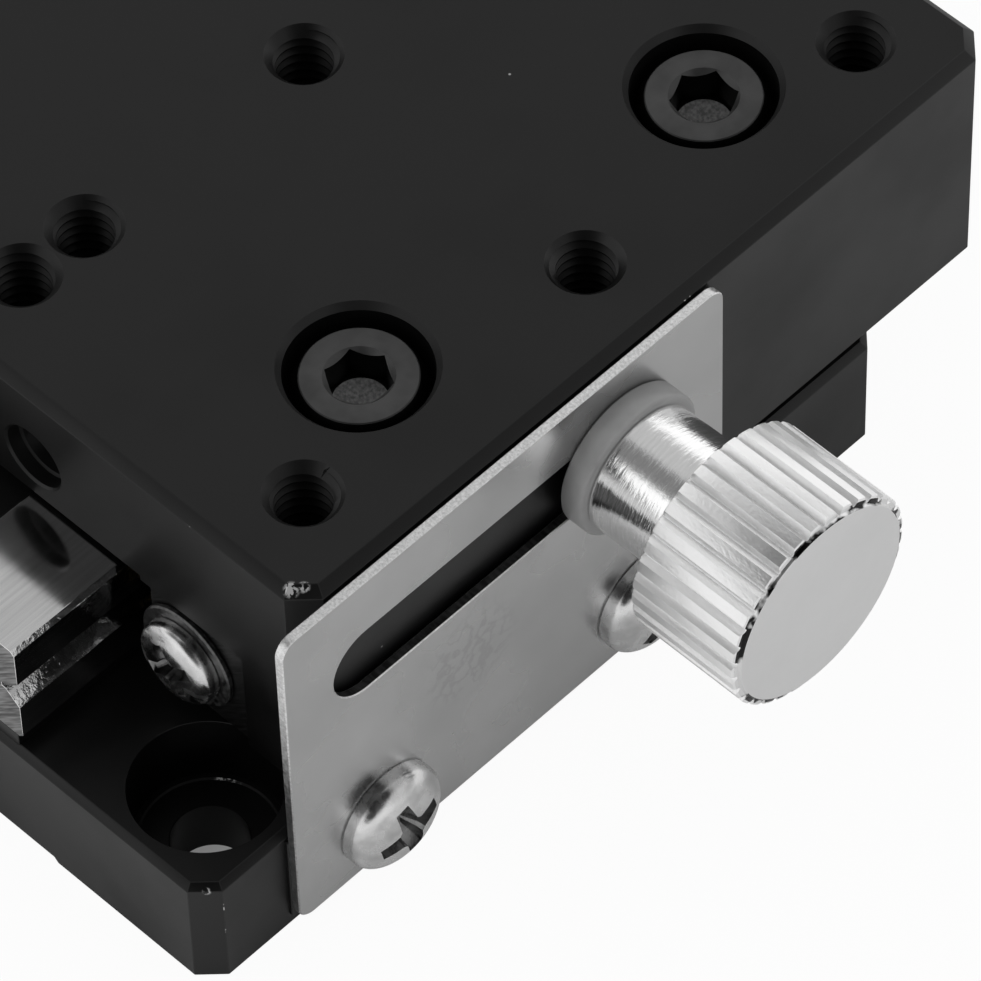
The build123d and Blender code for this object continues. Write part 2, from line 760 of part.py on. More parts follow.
# Thimble cap: pressed on the spigot, it covers the end screw
with BuildPart() as thimble_cap:
    with BuildSketch(mic_plane):
        with BuildLine():
            Polyline(
                (thimble_end, spigot_radius),
                (thimble_end, cap_radius),
                (thimble_end + cap_length - end_bevel, cap_radius),
                (thimble_end + cap_length, cap_radius - end_bevel),
                (thimble_end + cap_length, 0),
                (thimble_end + cap_recess_depth, 0),
                (thimble_end + cap_recess_depth, cap_recess_radius),
                (thimble_end + spigot_length, cap_recess_radius),
                (thimble_end + spigot_length, spigot_radius),
                close=True,
            )
        make_face()
    revolve(axis=mic_axis)
keep(thimble_cap, "thimble_cap")

# Anvil block: an angle on the table's left side whose arm reaches the spindle's axis
with BuildPart() as anvil_block:
    with BuildSketch(Plane.YZ.offset(parked + anvil_start)):
        with BuildLine():
            Polyline(
                (half_width, mic_z - anvil_arm / 2),
                (half_width, anvil_top),
                (half_width + anvil_thick, anvil_top),
                (half_width + anvil_thick, mic_z + anvil_arm / 2),
                (half_width + anvil_reach, mic_z + anvil_arm / 2),
                (half_width + anvil_reach, mic_z - anvil_arm / 2),
                close=True,
            )
        make_face()
    extrude(amount=anvil_end - anvil_start)
    long_edges = anvil_block.edges().filter_by(Axis.X)
    chamfer(long_edges.group_by(Axis.Z)[-1] + long_edges.group_by(Axis.Y)[-1], anvil_edge)
    with Locations(facing(anvil_middle, half_width + anvil_thick, anvil_screw_z, (0, 1, 0))):
        with GridLocations(anvil_screw_pitch, 1, 2, 1):
            Hole(m25 / 2, depth=anvil_thick)
    with Locations(facing(parked + anvil_end, mic_y, mic_z, (1, 0, 0))):
        Hole(anvil_pin_diameter / 2, depth=anvil_pin_length)
keep(anvil_block, "anvil_block")

with BuildPart() as anvil_pin:
    with BuildSketch(facing(parked + anvil_end, mic_y, mic_z, (1, 0, 0))):
        Circle(anvil_pin_diameter / 2)
    extrude(amount=-anvil_pin_length)
    with BuildSketch(facing(parked + anvil_end, mic_y, mic_z, (1, 0, 0))):
        Circle(anvil_head_diameter / 2)
    extrude(amount=anvil_head_thick)
keep(anvil_pin, "anvil_pin")

with BuildPart() as anvil_block_screws:
    with Locations(facing(anvil_middle, half_width + anvil_thick, anvil_screw_z, (0, 1, 0))):
        with GridLocations(anvil_screw_pitch, 1, 2, 1):
            add(cap_screw(m25, anvil_screw_length, m25_head, m25_head_height, m25_key, m25_socket))
keep(anvil_block_screws, "anvil_block_screws")
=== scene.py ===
import math

import bmesh
import bpy
from mathutils import Matrix, Vector


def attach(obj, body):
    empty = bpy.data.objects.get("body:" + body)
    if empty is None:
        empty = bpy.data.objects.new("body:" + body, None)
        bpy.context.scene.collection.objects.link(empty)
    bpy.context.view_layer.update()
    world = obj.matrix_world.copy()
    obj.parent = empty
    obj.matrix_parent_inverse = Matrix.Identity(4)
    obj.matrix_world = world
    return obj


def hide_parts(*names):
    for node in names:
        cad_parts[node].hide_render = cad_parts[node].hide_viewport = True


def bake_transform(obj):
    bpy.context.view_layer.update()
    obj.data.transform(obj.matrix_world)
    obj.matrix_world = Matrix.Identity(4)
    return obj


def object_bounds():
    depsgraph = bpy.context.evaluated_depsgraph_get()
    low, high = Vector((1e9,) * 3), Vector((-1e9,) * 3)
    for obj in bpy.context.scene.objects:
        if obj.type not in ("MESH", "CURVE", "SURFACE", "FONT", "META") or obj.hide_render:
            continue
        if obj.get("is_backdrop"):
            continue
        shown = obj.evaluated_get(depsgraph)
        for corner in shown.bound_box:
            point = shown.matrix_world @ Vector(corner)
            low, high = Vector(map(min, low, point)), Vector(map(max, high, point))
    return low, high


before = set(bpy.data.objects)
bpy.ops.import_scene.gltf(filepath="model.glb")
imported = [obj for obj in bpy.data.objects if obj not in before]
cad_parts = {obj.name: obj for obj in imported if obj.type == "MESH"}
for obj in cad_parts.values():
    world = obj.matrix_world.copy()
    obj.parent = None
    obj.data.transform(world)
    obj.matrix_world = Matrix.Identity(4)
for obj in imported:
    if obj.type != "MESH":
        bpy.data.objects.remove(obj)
cad_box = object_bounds()

# Camera and studio. A long lens looks down on the lock side and the near end. The stage stands
# on white paper, bright walls surround it, and the spot where the camera stands stays dark,
# because polished steel mirrors it. Shapes are modelled in millimetres and end in metres.
MM = 0.001
camera_place = Vector((-135.33, -155.90, 266.55))
camera_aim = Vector((0.756, -15.793, 10.0))
camera_roll = math.radians(-1.958)
camera_lens = 289.73
camera_sensor = 36.0
paper_radius = 900.0
paper_albedo = 0.74
paper_white = 0.95
wall_light = 1.05
sky_light = 0.5
soft_light = 0.93
wall_top = (40, 50)
camera_dark = 0.03
camera_spot = (42, 30)
dim_patches = ((Vector((0.42, -0.79, 0.44)), 34, 14, 0.62), (Vector((-0.35, 0.5, 0.79)), 22, 12, 0.4))
shaded_paper = 0.12
shade_reach = (17.5, 19.5)
end_glow = 0.55
end_reach = (-27.0, -21.0)


def add_node(tree, kind, inputs=None, **settings):
    """New shader or geometry node. An input takes a plain value or another node's socket."""
    made = tree.nodes.new(kind)
    for name, value in settings.items():
        setattr(made, name, value)
    for name, value in (inputs or {}).items():
        if isinstance(value, bpy.types.NodeSocket):
            tree.links.new(value, made.inputs[name])
        else:
            made.inputs[name].default_value = value
    return made


def span(tree, value, low, high, start, end):
    """A value's stretch from low to high, mapped smoothly to start to end."""
    inputs = {"Value": value, "From Min": low, "From Max": high, "To Min": start, "To Max": end}
    return add_node(tree, "ShaderNodeMapRange", inputs, interpolation_type="SMOOTHSTEP").outputs[0]


def combine(tree, how, first, second):
    """Math on two values."""
    return add_node(tree, "ShaderNodeMath", {0: first, 1: second}, operation=how).outputs[0]


def times(tree, first, second):
    """Product of two values."""
    return combine(tree, "MULTIPLY", first, second)


def in_scene(name, data):
    """New object that is linked to the scene."""
    made = bpy.data.objects.new(name, data)
    bpy.context.scene.collection.objects.link(made)
    return made


view_line = camera_aim - camera_place
camera_data = bpy.data.cameras.new("camera")
camera_data.lens = camera_lens
camera_data.sensor_width = camera_sensor
camera_data.clip_start = 0.01
camera = in_scene("camera", camera_data)
turned = view_line.to_track_quat("-Z", "Y").to_matrix() @ Matrix.Rotation(camera_roll, 3, "Z")
camera.matrix_world = Matrix.Translation(camera_place * MM) @ turned.to_4x4()
bpy.context.scene.camera = camera
bpy.context.scene.view_settings.view_transform = "Standard"

world = bpy.data.worlds.new("studio")
bpy.context.scene.world = world
world.use_nodes = True
sky = world.node_tree
ray = add_node(sky, "ShaderNodeLightPath").outputs
direction = add_node(sky, "ShaderNodeTexCoord").outputs["Generated"]
height = add_node(sky, "ShaderNodeSeparateXYZ", {"Vector": direction}).outputs["Z"]
mirrored = span(sky, height, *[math.sin(math.radians(angle)) for angle in wall_top], wall_light, sky_light)
for place, reach, core, dimmed in ((-view_line.normalized(), *camera_spot, camera_dark), *dim_patches):
    towards = add_node(sky, "ShaderNodeVectorMath", {0: direction, 1: place}, operation="DOT_PRODUCT")
    edges = math.cos(math.radians(reach)), math.cos(math.radians(core))
    shade = span(sky, towards.outputs["Value"], *edges, 1.0, dimmed)
    mirrored = times(sky, mirrored, shade)
level = add_node(sky, "ShaderNodeMix", {0: ray["Is Glossy Ray"], 2: soft_light, 3: mirrored}).outputs[0]
level = add_node(sky, "ShaderNodeMix", {0: ray["Is Camera Ray"], 2: level, 3: 1.0}).outputs[0]
sky.links.new(level, sky.nodes["Background"].inputs["Strength"])
sky.nodes["Background"].inputs["Color"].default_value = (1, 1, 1, 1)

paper = bpy.data.materials.new("white_paper")
paper.use_nodes = True
tree = paper.node_tree
tree.nodes.clear()
coords = add_node(tree, "ShaderNodeTexCoord").outputs["Object"]
fibre = add_node(tree, "ShaderNodeTexNoise", {"Vector": coords, "Scale": 900.0, "Detail": 3.0}).outputs[0]
tones = {0: fibre, 6: (paper_albedo * 0.98,) * 3 + (1,), 7: (paper_albedo,) * 3 + (1,)}
tint = add_node(tree, "ShaderNodeMix", tones, data_type="RGBA")
matt = add_node(tree, "ShaderNodeBsdfDiffuse", {"Color": tint.outputs[2]})
glow = add_node(tree, "ShaderNodeEmission", {"Strength": 1.0})
ray = add_node(tree, "ShaderNodeLightPath").outputs
parts = add_node(tree, "ShaderNodeSeparateXYZ", {"Vector": coords}).outputs
away = [combine(tree, "ABSOLUTE", parts[axis], 0) for axis in "XY"]
away = combine(tree, "MAXIMUM", *away)
lit = span(tree, away, *[MM * edge for edge in shade_reach], shaded_paper, paper_white)
glowing = span(tree, parts["X"], *[MM * edge for edge in end_reach], end_glow, 0.0)
glowing = times(tree, ray["Is Glossy Ray"], glowing)
share = combine(tree, "ADD", times(tree, ray["Is Camera Ray"], lit), glowing)
mixed = add_node(tree, "ShaderNodeMixShader", {0: share, 1: matt.outputs[0], 2: glow.outputs[0]})
add_node(tree, "ShaderNodeOutputMaterial", {"Surface": mixed.outputs[0]})
floor_mesh = bpy.data.meshes.new("paper")
shape = bmesh.new()
bmesh.ops.create_circle(shape, cap_ends=True, segments=96, radius=paper_radius * MM)
shape.to_mesh(floor_mesh)
shape.free()
floor_mesh.materials.append(paper)
in_scene("paper", floor_mesh)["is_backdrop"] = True

# Base plate. A milled steel block in black chrome, with a pad and a rib for the inner rails.
# It stands on two side strips, and screws hold it down through recesses in its corners.
half_width = 20.0
base_thick = 6.5
base_corner = 1.0
base_bevel = 0.3
worn_width = 0.025
relief_half = 11.35
relief_depth = 0.55
land_box = ((-15.5, -20.15, 0.9), (9.5, -19.9, 6.0))
land_wear = 0.04
pad_box = ((-19.75, -9.05, 6.4), (19.75, 9.05, 7.2))
rib_box = ((-19.75, -3.85, 7.1), (19.75, 3.85, 12.0))
mount_pitch = 32.0
mount_hole = 3.3
recess_size = 6.45
recess_depth = 3.6
recess_lip = 0.02
recess_ring = 3.0
ring_step = 0.08
mouth = 0.12
rail_screw_pitch = 20.0
inner_screw_y = 6.9
inner_screw_hole = 7.3
post_x = 10.2
bracket_screw_x = (-6.0, 4.0)
bracket_screw_z = 3.3
plate_screw_x = (-10.5, 4.5)
plate_screw_z = 3.7
post_hole = (4.8, 2.9, 2.9, 13)
plate_tap = (2.5, 5.1)
bracket_tap = (3.0, 6.0)


def new_finish(name, **values):
    """New material. Plain numbers go straight on the shader's own sockets."""
    made = bpy.data.materials.new(name)
    made.use_nodes = True
    surface = made.node_tree.nodes["Principled BSDF"]
    for label, value in values.items():
        surface.inputs[label.replace("_", " ")].default_value = value
    coords = add_node(made.node_tree, "ShaderNodeTexCoord").outputs["Object"]
    return made, made.node_tree, surface, coords


def noise(tree, coords, scale, stretch=(1, 1, 1), detail=2.0, rough=0.5):
    """Noise with scale cells to the metre, pulled out along an axis by a stretch under 1."""
    placed = add_node(tree, "ShaderNodeMapping", {"Vector": coords, "Scale": Vector(stretch)})
    inputs = {"Vector": placed.outputs[0], "Scale": scale, "Detail": detail, "Roughness": rough}
    return add_node(tree, "ShaderNodeTexNoise", inputs).outputs[0]


def grey(level):
    """Neutral colour."""
    return (level, level, level, 1.0)


def shades(tree, factor, *stops):
    """Colour ramp from (position, grey level) stops."""
    ramp = add_node(tree, "ShaderNodeValToRGB", {0: factor})
    elements = ramp.color_ramp.elements
    while len(elements) < len(stops):
        elements.new(0.5)
    for element, (position, level) in zip(elements, stops):
        element.position = position
        element.color = grey(level) if isinstance(level, (int, float)) else level
    return ramp.outputs[0]


def coat(tree, surface, colour, roughness, depth, *heights):
    """Give a finish its colour and roughness, and bump it by one or more heights of a depth in metres."""
    total = heights[0]
    for extra in heights[1:]:
        total = combine(tree, "ADD", total, extra)
    bump = add_node(tree, "ShaderNodeBump", {"Height": total, "Distance": depth, "Strength": 1.0})
    for value, name in ((colour, "Base Color"), (roughness, "Roughness"), (bump.outputs[0], "Normal")):
        tree.links.new(value, surface.inputs[name])


def between(tree, share, first, second):
    """Colour between two tones."""
    return add_node(tree, "ShaderNodeMix", {0: share, 6: first, 7: second}, data_type="RGBA").outputs[2]


def dust(tree, coords, scale, size, share):
    """Small specks: a few of a cell pattern's cells hold one."""
    cells = add_node(tree, "ShaderNodeTexVoronoi", {"Vector": coords, "Scale": scale}).outputs
    near = span(tree, cells["Distance"], size, size * 0.6, 0.0, 1.0)
    pick = add_node(tree, "ShaderNodeSeparateColor", {0: cells["Color"]}).outputs[0]
    chosen = combine(tree, "LESS_THAN", pick, share)
    return times(tree, near, chosen)


def distance(tree, coords, place):
    """Distance from a place given in millimetres."""
    away = add_node(tree, "ShaderNodeVectorMath", {0: coords, 1: Vector(place) * MM}, operation="DISTANCE")
    return away.outputs["Value"]


def rubbed(tree, coords, places, chance=1.0):
    """Mask that is one where handling rubbed the black off, round some places and here and there; a place can
    also mark a painted highlight.
    """
    rub = noise(tree, coords, 240.0, detail=2.0)
    zone = span(tree, rub, chance, chance + 0.04, 0.0, 1.0)
    for *place, reach in places:
        away = distance(tree, coords, place)
        close = span(tree, away, reach * MM, reach * MM / 2, 0.0, 1.0)
        zone = combine(tree, "MAXIMUM", zone, close)
    return zone


rubbed_faces = ((-13.32, -18.95, 19.9, 0.42), (-12.9, -19.25, 19.95, 0.3), (-19.45, -19.55, 6.2, 0.22))
# Places where handling rubbed the black off the edges. The last one, on the floor ring of the corner recess
# at (-16, -16), is a painted highlight: it brightens the arc of that ring where light falls.
rubbed_edges_and_lit_arc = rubbed_faces + (
    (-19.0, -20.0, 5.1, 0.3), (-19.0, -20.0, 3.4, 0.2), (-13.7, -13.5, 19.55, 0.25), (8.0, -20.0, 19.55, 0.3),
    (-13.5, -14.5, 2.88, 0.7),
)
chrome_tone = 0.0015
chrome_gloss = 0.38
worn_tone = 0.3

black_steel, tree, surface, coords = new_finish("black_chrome_steel", IOR=1.45, Specular_IOR_Level=0.37)
grain = noise(tree, coords, 9000.0)
cloud = noise(tree, coords, 160.0, detail=3.0)
nick = noise(tree, coords, 5200.0, detail=3.0)
worn = times(tree, rubbed(tree, coords, rubbed_faces), span(tree, nick, 0.46, 0.54, 0.0, 1.0))
bright = combine(tree, "MAXIMUM", dust(tree, coords, 620.0, 0.055, 0.05), worn)
stops = (0.05, chrome_tone * 0.75), (0.45, chrome_tone * 1.3)
tone = between(tree, bright, shades(tree, times(tree, grain, cloud), *stops), grey(worn_tone))
coat(tree, surface, tone, span(tree, cloud, 0.3, 0.7, chrome_gloss * 0.85, chrome_gloss * 1.2), 1.2e-6, grain)

# Edge finish: light chips where handling rubbed the black off, and a painted highlight on the corner recess's
# ring.
worn_and_lit_edge, tree, surface, coords = new_finish("worn_black_edge", IOR=1.45, Specular_IOR_Level=0.3)
nick = noise(tree, coords, 4200.0, detail=3.0)
zone = rubbed(tree, coords, rubbed_edges_and_lit_arc, 0.7)
chip_and_highlight = times(tree, zone, span(tree, nick, 0.47, 0.56, 0.0, 1.0))
tone = shades(tree, chip_and_highlight, (0.0, 0.012), (0.5, 0.08), (1.0, 0.45))
coat(tree, surface, tone, span(tree, chip_and_highlight, 0.0, 1.0, 0.4, 0.45), 3e-6, nick)


def block(low, high):
    """Closed box between two corners."""
    shape = bmesh.new()
    bmesh.ops.create_cube(shape, size=1.0)
    middle = (Vector(low) + Vector(high)) / 2
    bmesh.ops.scale(shape, vec=Vector(high) - Vector(low), verts=shape.verts)
    bmesh.ops.translate(shape, vec=middle, verts=shape.verts)
    return shape


def bridge(shape, low, high, finish=0):
    """Faces from one ring of corners to the next. Where two corners are one, the face is a triangle."""
    made = []
    for i in range(len(low)):
        j = (i + 1) % len(low)
        corners = [low[i], low[j], high[j], high[i]]
        kept = [v for k, v in enumerate(corners) if v not in corners[:k]]
        if len(kept) > 2:
            made.append(shape.faces.new(kept))
            made[-1].material_index = finish
    return made


def closed(shape, *rings):
    """Close a shape with a face in each ring, and turn all its faces outwards."""
    for ring in rings:
        shape.faces.new(ring)
    bmesh.ops.recalc_face_normals(shape, faces=shape.faces)
    return shape


def polar(radius, angle, *height):
    """Point at a radius and an angle, and at a height where one is given."""
    return (radius * math.cos(angle), radius * math.sin(angle), *height)


def prism(outline, start, end, along="Z"):
    """Closed prism whose outline lies across an axis."""
    order = {"X": (2, 0, 1), "Y": (0, 2, 1), "Z": (0, 1, 2)}[along]
    shape = bmesh.new()
    rings = [[shape.verts.new([(a, b, t)[i] for i in order]) for a, b in outline] for t in (start, end)]
    bridge(shape, *rings)
    return closed(shape, *rings)


def lathe(profile, steps=48, worn=(), looped=False):
    """Shell turned about Z from (radius, height) points. A looped profile ends where it starts. The
    stretches named worn take finish 1."""
    shape = bmesh.new()
    rings = []
    for radius, height in profile:
        if radius == 0:
            rings.append([shape.verts.new((0, 0, height))] * steps)
        else:
            angles = [2 * math.pi * i / steps for i in range(steps)]
            rings.append([shape.verts.new(polar(radius, angle, height)) for angle in angles])
    pairs = list(zip(rings, rings[1:])) + ([(rings[-1], rings[0])] if looped else [])
    for number, (low, high) in enumerate(pairs):
        bridge(shape, low, high, 1 if number in worn else 0)
    return closed(shape)


def facing(x, y, z, direction):
    """Matrix that stands a shape's Z axis along a direction at a point."""
    return Matrix.Translation((x, y, z)) @ Vector(direction).to_track_quat("Z", "Y").to_matrix().to_4x4()


def gather(*shapes):
    """Several shells in one bmesh."""
    whole = bmesh.new()
    for shape in shapes:
        part = bpy.data.meshes.new("part")
        shape.to_mesh(part)
        shape.free()
        whole.from_mesh(part)
        bpy.data.meshes.remove(part)
    return whole


def placed(shape, *matrices):
    """Copies of a shape at several places, in one bmesh."""
    copies = []
    for matrix in matrices:
        copy = shape.copy()
        bmesh.ops.transform(copy, matrix=matrix, verts=copy.verts)
        copies.append(copy)
    shape.free()
    return gather(*copies)


def as_object(name, shape):
    """Temporary object that holds a bmesh."""
    mesh = bpy.data.meshes.new(name)
    shape.to_mesh(mesh)
    shape.free()
    for _ in range(3):
        mesh.materials.append(None)
    return in_scene(name, mesh)


def baked(holder, layers=False):
    """Mesh of an object with its modifiers applied; the object is removed."""
    graph = bpy.context.evaluated_depsgraph_get()
    mesh = bpy.data.meshes.new_from_object(
        holder.evaluated_get(graph), preserve_all_data_layers=layers, depsgraph=graph,
    )
    bpy.data.objects.remove(holder)
    return mesh


def carved(shape, *others, how="DIFFERENCE"):
    """Exact booleans of closed shapes, one after the other."""
    for other in others:
        body = as_object("body", shape)
        tool = as_object("tool", other)
        modifier = body.modifiers.new("cut", "BOOLEAN")
        modifier.operation = how
        modifier.solver = "EXACT"
        modifier.object = tool
        mesh = baked(body)
        bpy.data.objects.remove(tool)
        shape = bmesh.new()
        shape.from_mesh(mesh)
        bpy.data.meshes.remove(mesh)
    return shape


def edges_where(shape, test):
    """Edges whose two ends pass a test."""
    return [edge for edge in shape.edges if all(test(v.co) for v in edge.verts)]


def upright(shape):
    """Edges along Z."""
    return [edge for edge in shape.edges if abs((edge.verts[0].co - edge.verts[1].co).normalized().z) > 0.99]


def bevelled(shape, edges, size, finish=0):
    """Flat bevel on some edges."""
    made = bmesh.ops.bevel(
        shape, geom=edges, offset=size, offset_type="OFFSET", segments=1, profile=0.5,
        affect="EDGES", clamp_overlap=False,
    )
    for face in made["faces"]:
        face.material_index = finish
    return shape


def broken(shape, size=worn_width, finish=1):
    """Break every sharp edge, as handling wears it."""
    sharp = [edge for edge in shape.edges if edge.is_manifold and edge.calc_face_angle() > math.radians(20)]
    return bevelled(shape, sharp, size, finish)


def piece(name, mesh, body, slot, *nodes):
    """Object at the origin that rides on a body in place of its CAD nodes."""
    made = in_scene(name, mesh)
    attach(made, body)
    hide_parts(*nodes)
    return made


def finished(name, shape, finishes, smooth=22):
    """Mesh in metres from a bmesh in millimetres, smooth apart from its sharp edges. With a single
    finish, the number of each face's part is kept as an attribute that the finish can read."""
    mesh = bpy.data.meshes.new(name)
    bmesh.ops.remove_doubles(shape, verts=shape.verts, dist=1e-5)
    shape.to_mesh(mesh)
    shape.free()
    if len(finishes) == 1:
        part = mesh.attributes.new("part", "FLOAT", "FACE")
        part.data.foreach_set("value", [float(face.material_index) for face in mesh.polygons])
        mesh.polygons.foreach_set("material_index", [0] * len(mesh.polygons))
    mesh.transform(Matrix.Scale(MM, 4))
    for finish in finishes:
        mesh.materials.append(finish)
    mesh.shade_smooth()
    mesh.set_sharp_from_angle(angle=math.radians(smooth))
    return mesh


def dressed(name, shape, finishes, body, slot, node, smooth=22):
    """A finished shape as a piece in place of one CAD node."""
    return piece(name, finished(name, shape, finishes, smooth), body, slot, node)


def counterbore(wide, depth, narrow, through, lip=mouth, ring=0.0):
    """Cutter for a recess with a broken mouth and a hole in its floor; Z points out of the metal.
    A ring above zero steps the floor by a hair at that radius, as a worn cutter leaves it."""
    profile = [(0, 1.0), (wide / 2 + lip + 0.78, 1.0), (wide / 2, -1.28 * lip), (wide / 2, -depth)]
    if ring:
        profile += [(ring, -depth), (ring - ring_step, -depth - ring_step)]
        depth = depth + ring_step
    profile += [(narrow / 2 + mouth / 3, -depth), (narrow / 2, -depth - mouth / 3)]
    return lathe(profile + [(narrow / 2, -through), (0, -through)], 96, worn=(4,) if ring else ())


def bore(size, depth, flare=mouth):
    """Cutter for a plain hole with a broken mouth."""
    radius = size / 2
    profile = [(0, 0.5), (radius + flare + 0.5, 0.5), (radius, -flare), (radius, -depth)]
    return lathe(profile + [(0, -depth - size / 4)], 64)


def grid(pitch_x, pitch_y, z, direction, middle=(0, 0)):
    """Places at the corners of a rectangle."""
    corners = [(i, j) for i in (-0.5, 0.5) for j in (-0.5, 0.5)]
    return [facing(middle[0] + i * pitch_x, middle[1] + j * pitch_y, z, direction) for i, j in corners]


up, down = (0, 0, 1), (0, 0, -1)
shape = block((-half_width, -half_width, 0), (half_width, half_width, base_thick))
bevelled(shape, upright(shape), base_corner)
bevelled(shape, edges_where(shape, lambda co: co.z > base_thick - 0.001), base_bevel)
bevelled(shape, edges_where(shape, lambda co: co.z < 0.001), base_bevel)
broken(shape)
for box, wear in ((land_box, land_wear), (pad_box, worn_width), (rib_box, worn_width)):
    shape = carved(shape, broken(block(*box), wear), how="UNION")
slope = relief_half - relief_depth
foot = [(-relief_half, -0.01), (-slope, relief_depth), (slope, relief_depth), (relief_half, -0.01)]
corner_holes = placed(
    counterbore(recess_size, recess_depth, mount_hole, base_thick + 1, recess_lip, recess_ring),
    *grid(mount_pitch, mount_pitch, base_thick, up),
)
low_holes = gather(
    placed(
        counterbore(recess_size, recess_depth, mount_hole, inner_screw_hole),
        *grid(rail_screw_pitch, 2 * inner_screw_y, 0, down),
    ),
    placed(counterbore(*post_hole), facing(post_x, 0, 0, down)),
    placed(bore(*plate_tap), *[facing(x, land_box[0][1], plate_screw_z, (0, -1, 0)) for x in plate_screw_x]),
    placed(bore(*bracket_tap), *[facing(x, half_width, bracket_screw_z, (0, 1, 0)) for x in bracket_screw_x]),
)
shape = carved(shape, prism(foot, -half_width - 1, half_width + 1, "X"), corner_holes, low_holes)
dressed("milled_base", shape, (black_steel, worn_and_lit_edge), "base", "black_steel", "base_plate")

# Inner rails. Hardened steel bars, ground on every face, with a V groove for the rollers.
# They lie on the pad against the rib, and their ends stand out past the table.
rail_width = 5.5
rail_z = (7.2, 13.0)
rail_mid = 10.1
rail_half_length = 19.75
rail_bevel = 0.2
vee_depth = 0.764
groove_relief = 0.22
rail_gap_faces = (9.35, 10.65)
rail_screw_inset = 2.45
rail_tap = (3.0, 7.0, 0.1)
inner_end_level = 0.2
quarter = math.pi / 2


def ground_steel(name, end_level):
    """Ground steel: a mirror with fine lines on top, scaly sides and groove, and sawn ends."""
    made, tree, surface, coords = new_finish(name, Metallic=1.0)
    normal = add_node(tree, "ShaderNodeTexCoord").outputs["Normal"]
    parts = add_node(tree, "ShaderNodeSeparateXYZ", {"Vector": normal}).outputs
    ends = combine(tree, "GREATER_THAN", combine(tree, "ABSOLUTE", parts["X"], 0.0), 0.9)
    flats = combine(tree, "GREATER_THAN", combine(tree, "ABSOLUTE", parts["Z"], 0.0), 0.9)
    sides = combine(tree, "SUBTRACT", combine(tree, "SUBTRACT", 1.0, ends), flats)
    lines = noise(tree, coords, 5200.0, stretch=(0.03, 1, 1), detail=3.0)
    slanted = add_node(tree, "ShaderNodeMapping", {"Vector": coords, "Rotation": (quarter / 2, 0, 0)})
    saw = noise(tree, slanted.outputs[0], 9000.0, stretch=(1, 0.06, 1), detail=2.0)
    scale = noise(tree, coords, 1500.0, detail=4.0, rough=0.6)
    cloud = noise(tree, coords, 420.0, detail=3.0)
    long_tone = shades(tree, lines, (0.3, 0.7), (0.7, 0.85))
    end_tone = shades(tree, saw, (0.35, end_level * 0.5), (0.65, end_level * 1.5))
    smooth = span(tree, cloud, 0.35, 0.65, 0.09, 0.14)
    rough = combine(tree, "ADD", smooth, times(tree, ends, 0.38))
    rough = combine(tree, "SUBTRACT", rough, times(tree, sides, 0.03))
    heights = [times(tree, lines, 0.1)]
    for height, place, depth in ((saw, ends, 3.0), (scale, sides, 9.0)):
        heights.append(times(tree, height, times(tree, place, depth)))
    coat(tree, surface, between(tree, ends, long_tone, end_tone), rough, 3e-6, *heights)
    return made


def vee_rail(face, side, middle):
    """V rail: its groove opens at the line y = face, and its back lies to that side."""
    back = face + side * rail_width
    apex = face + side * vee_depth
    low, high = rail_z
    bevel = side * rail_bevel
    upper, lower = rail_mid + groove_relief / 2, rail_mid - groove_relief / 2
    deep = apex + side * groove_relief
    outline = [(face, rail_mid + vee_depth), (face, high - rail_bevel), (face + bevel, high)]
    outline += [(back - bevel, high), (back, high - rail_bevel), (back, low + rail_bevel)]
    outline += [(back - bevel, low), (face + bevel, low), (face, low + rail_bevel)]
    outline += [(face, rail_mid - vee_depth), (apex, lower), (deep, lower), (deep, upper), (apex, upper)]
    shape = broken(prism(outline, middle - rail_half_length, middle + rail_half_length, "X"), 0.015, 0)
    across = face + side * rail_screw_inset
    screws = [facing(middle + i * rail_screw_pitch / 2, across, rail_z[1], up) for i in (-1, 1)]
    return carved(shape, placed(bore(*rail_tap), *screws))


rail_steel = ground_steel("ground_rail_steel", inner_end_level)
for side, name in ((1, "left"), (-1, "right")):
    shape = vee_rail(side * rail_gap_faces[0], -side, 0)
    dressed("ground_inner_rail_" + name, shape, (rail_steel,), "base", "rail_steel", "inner_rail_" + name)

# Rail screws. M3 socket head cap screws in black oxide: four come up from under the base into
# the inner rails, and four go down through the table into the outer ones.
m3_screw = (3.0, 0.5, 8.0, 5.5, 3.0, 2.5, 1.65)
travel_offset = 6.3
table_top = 20.0
outer_screw_y = 13.1
half_turn = math.pi

black_oxide, tree, surface, coords = new_finish("black_oxide_screw", IOR=1.5)
grain = noise(tree, coords, 7000.0, detail=3.0)
cloud = noise(tree, coords, 900.0, detail=2.0)
part = add_node(tree, "ShaderNodeAttribute", attribute_name="part").outputs["Fac"]
# Painted shade: the socket's walls (part 1) take a near black tone and full metal, darker than the oxide
# outside.
painted_shade = combine(tree, "COMPARE", part, 1.0)
lit = combine(tree, "COMPARE", part, 2.0)
outside = shades(tree, cloud, (0.3, 0.026), (0.7, 0.045))
inside = shades(tree, grain, (0.35, 0.1), (0.65, 0.22))
tone = between(tree, lit, between(tree, painted_shade, outside, grey(0.01)), inside)
metal = combine(tree, "ADD", times(tree, painted_shade, 0.7), 0.3)
tree.links.new(metal, surface.inputs["Metallic"])
coat(tree, surface, tone, span(tree, cloud, 0.3, 0.7, 0.32, 0.46), 2.5e-6, grain)


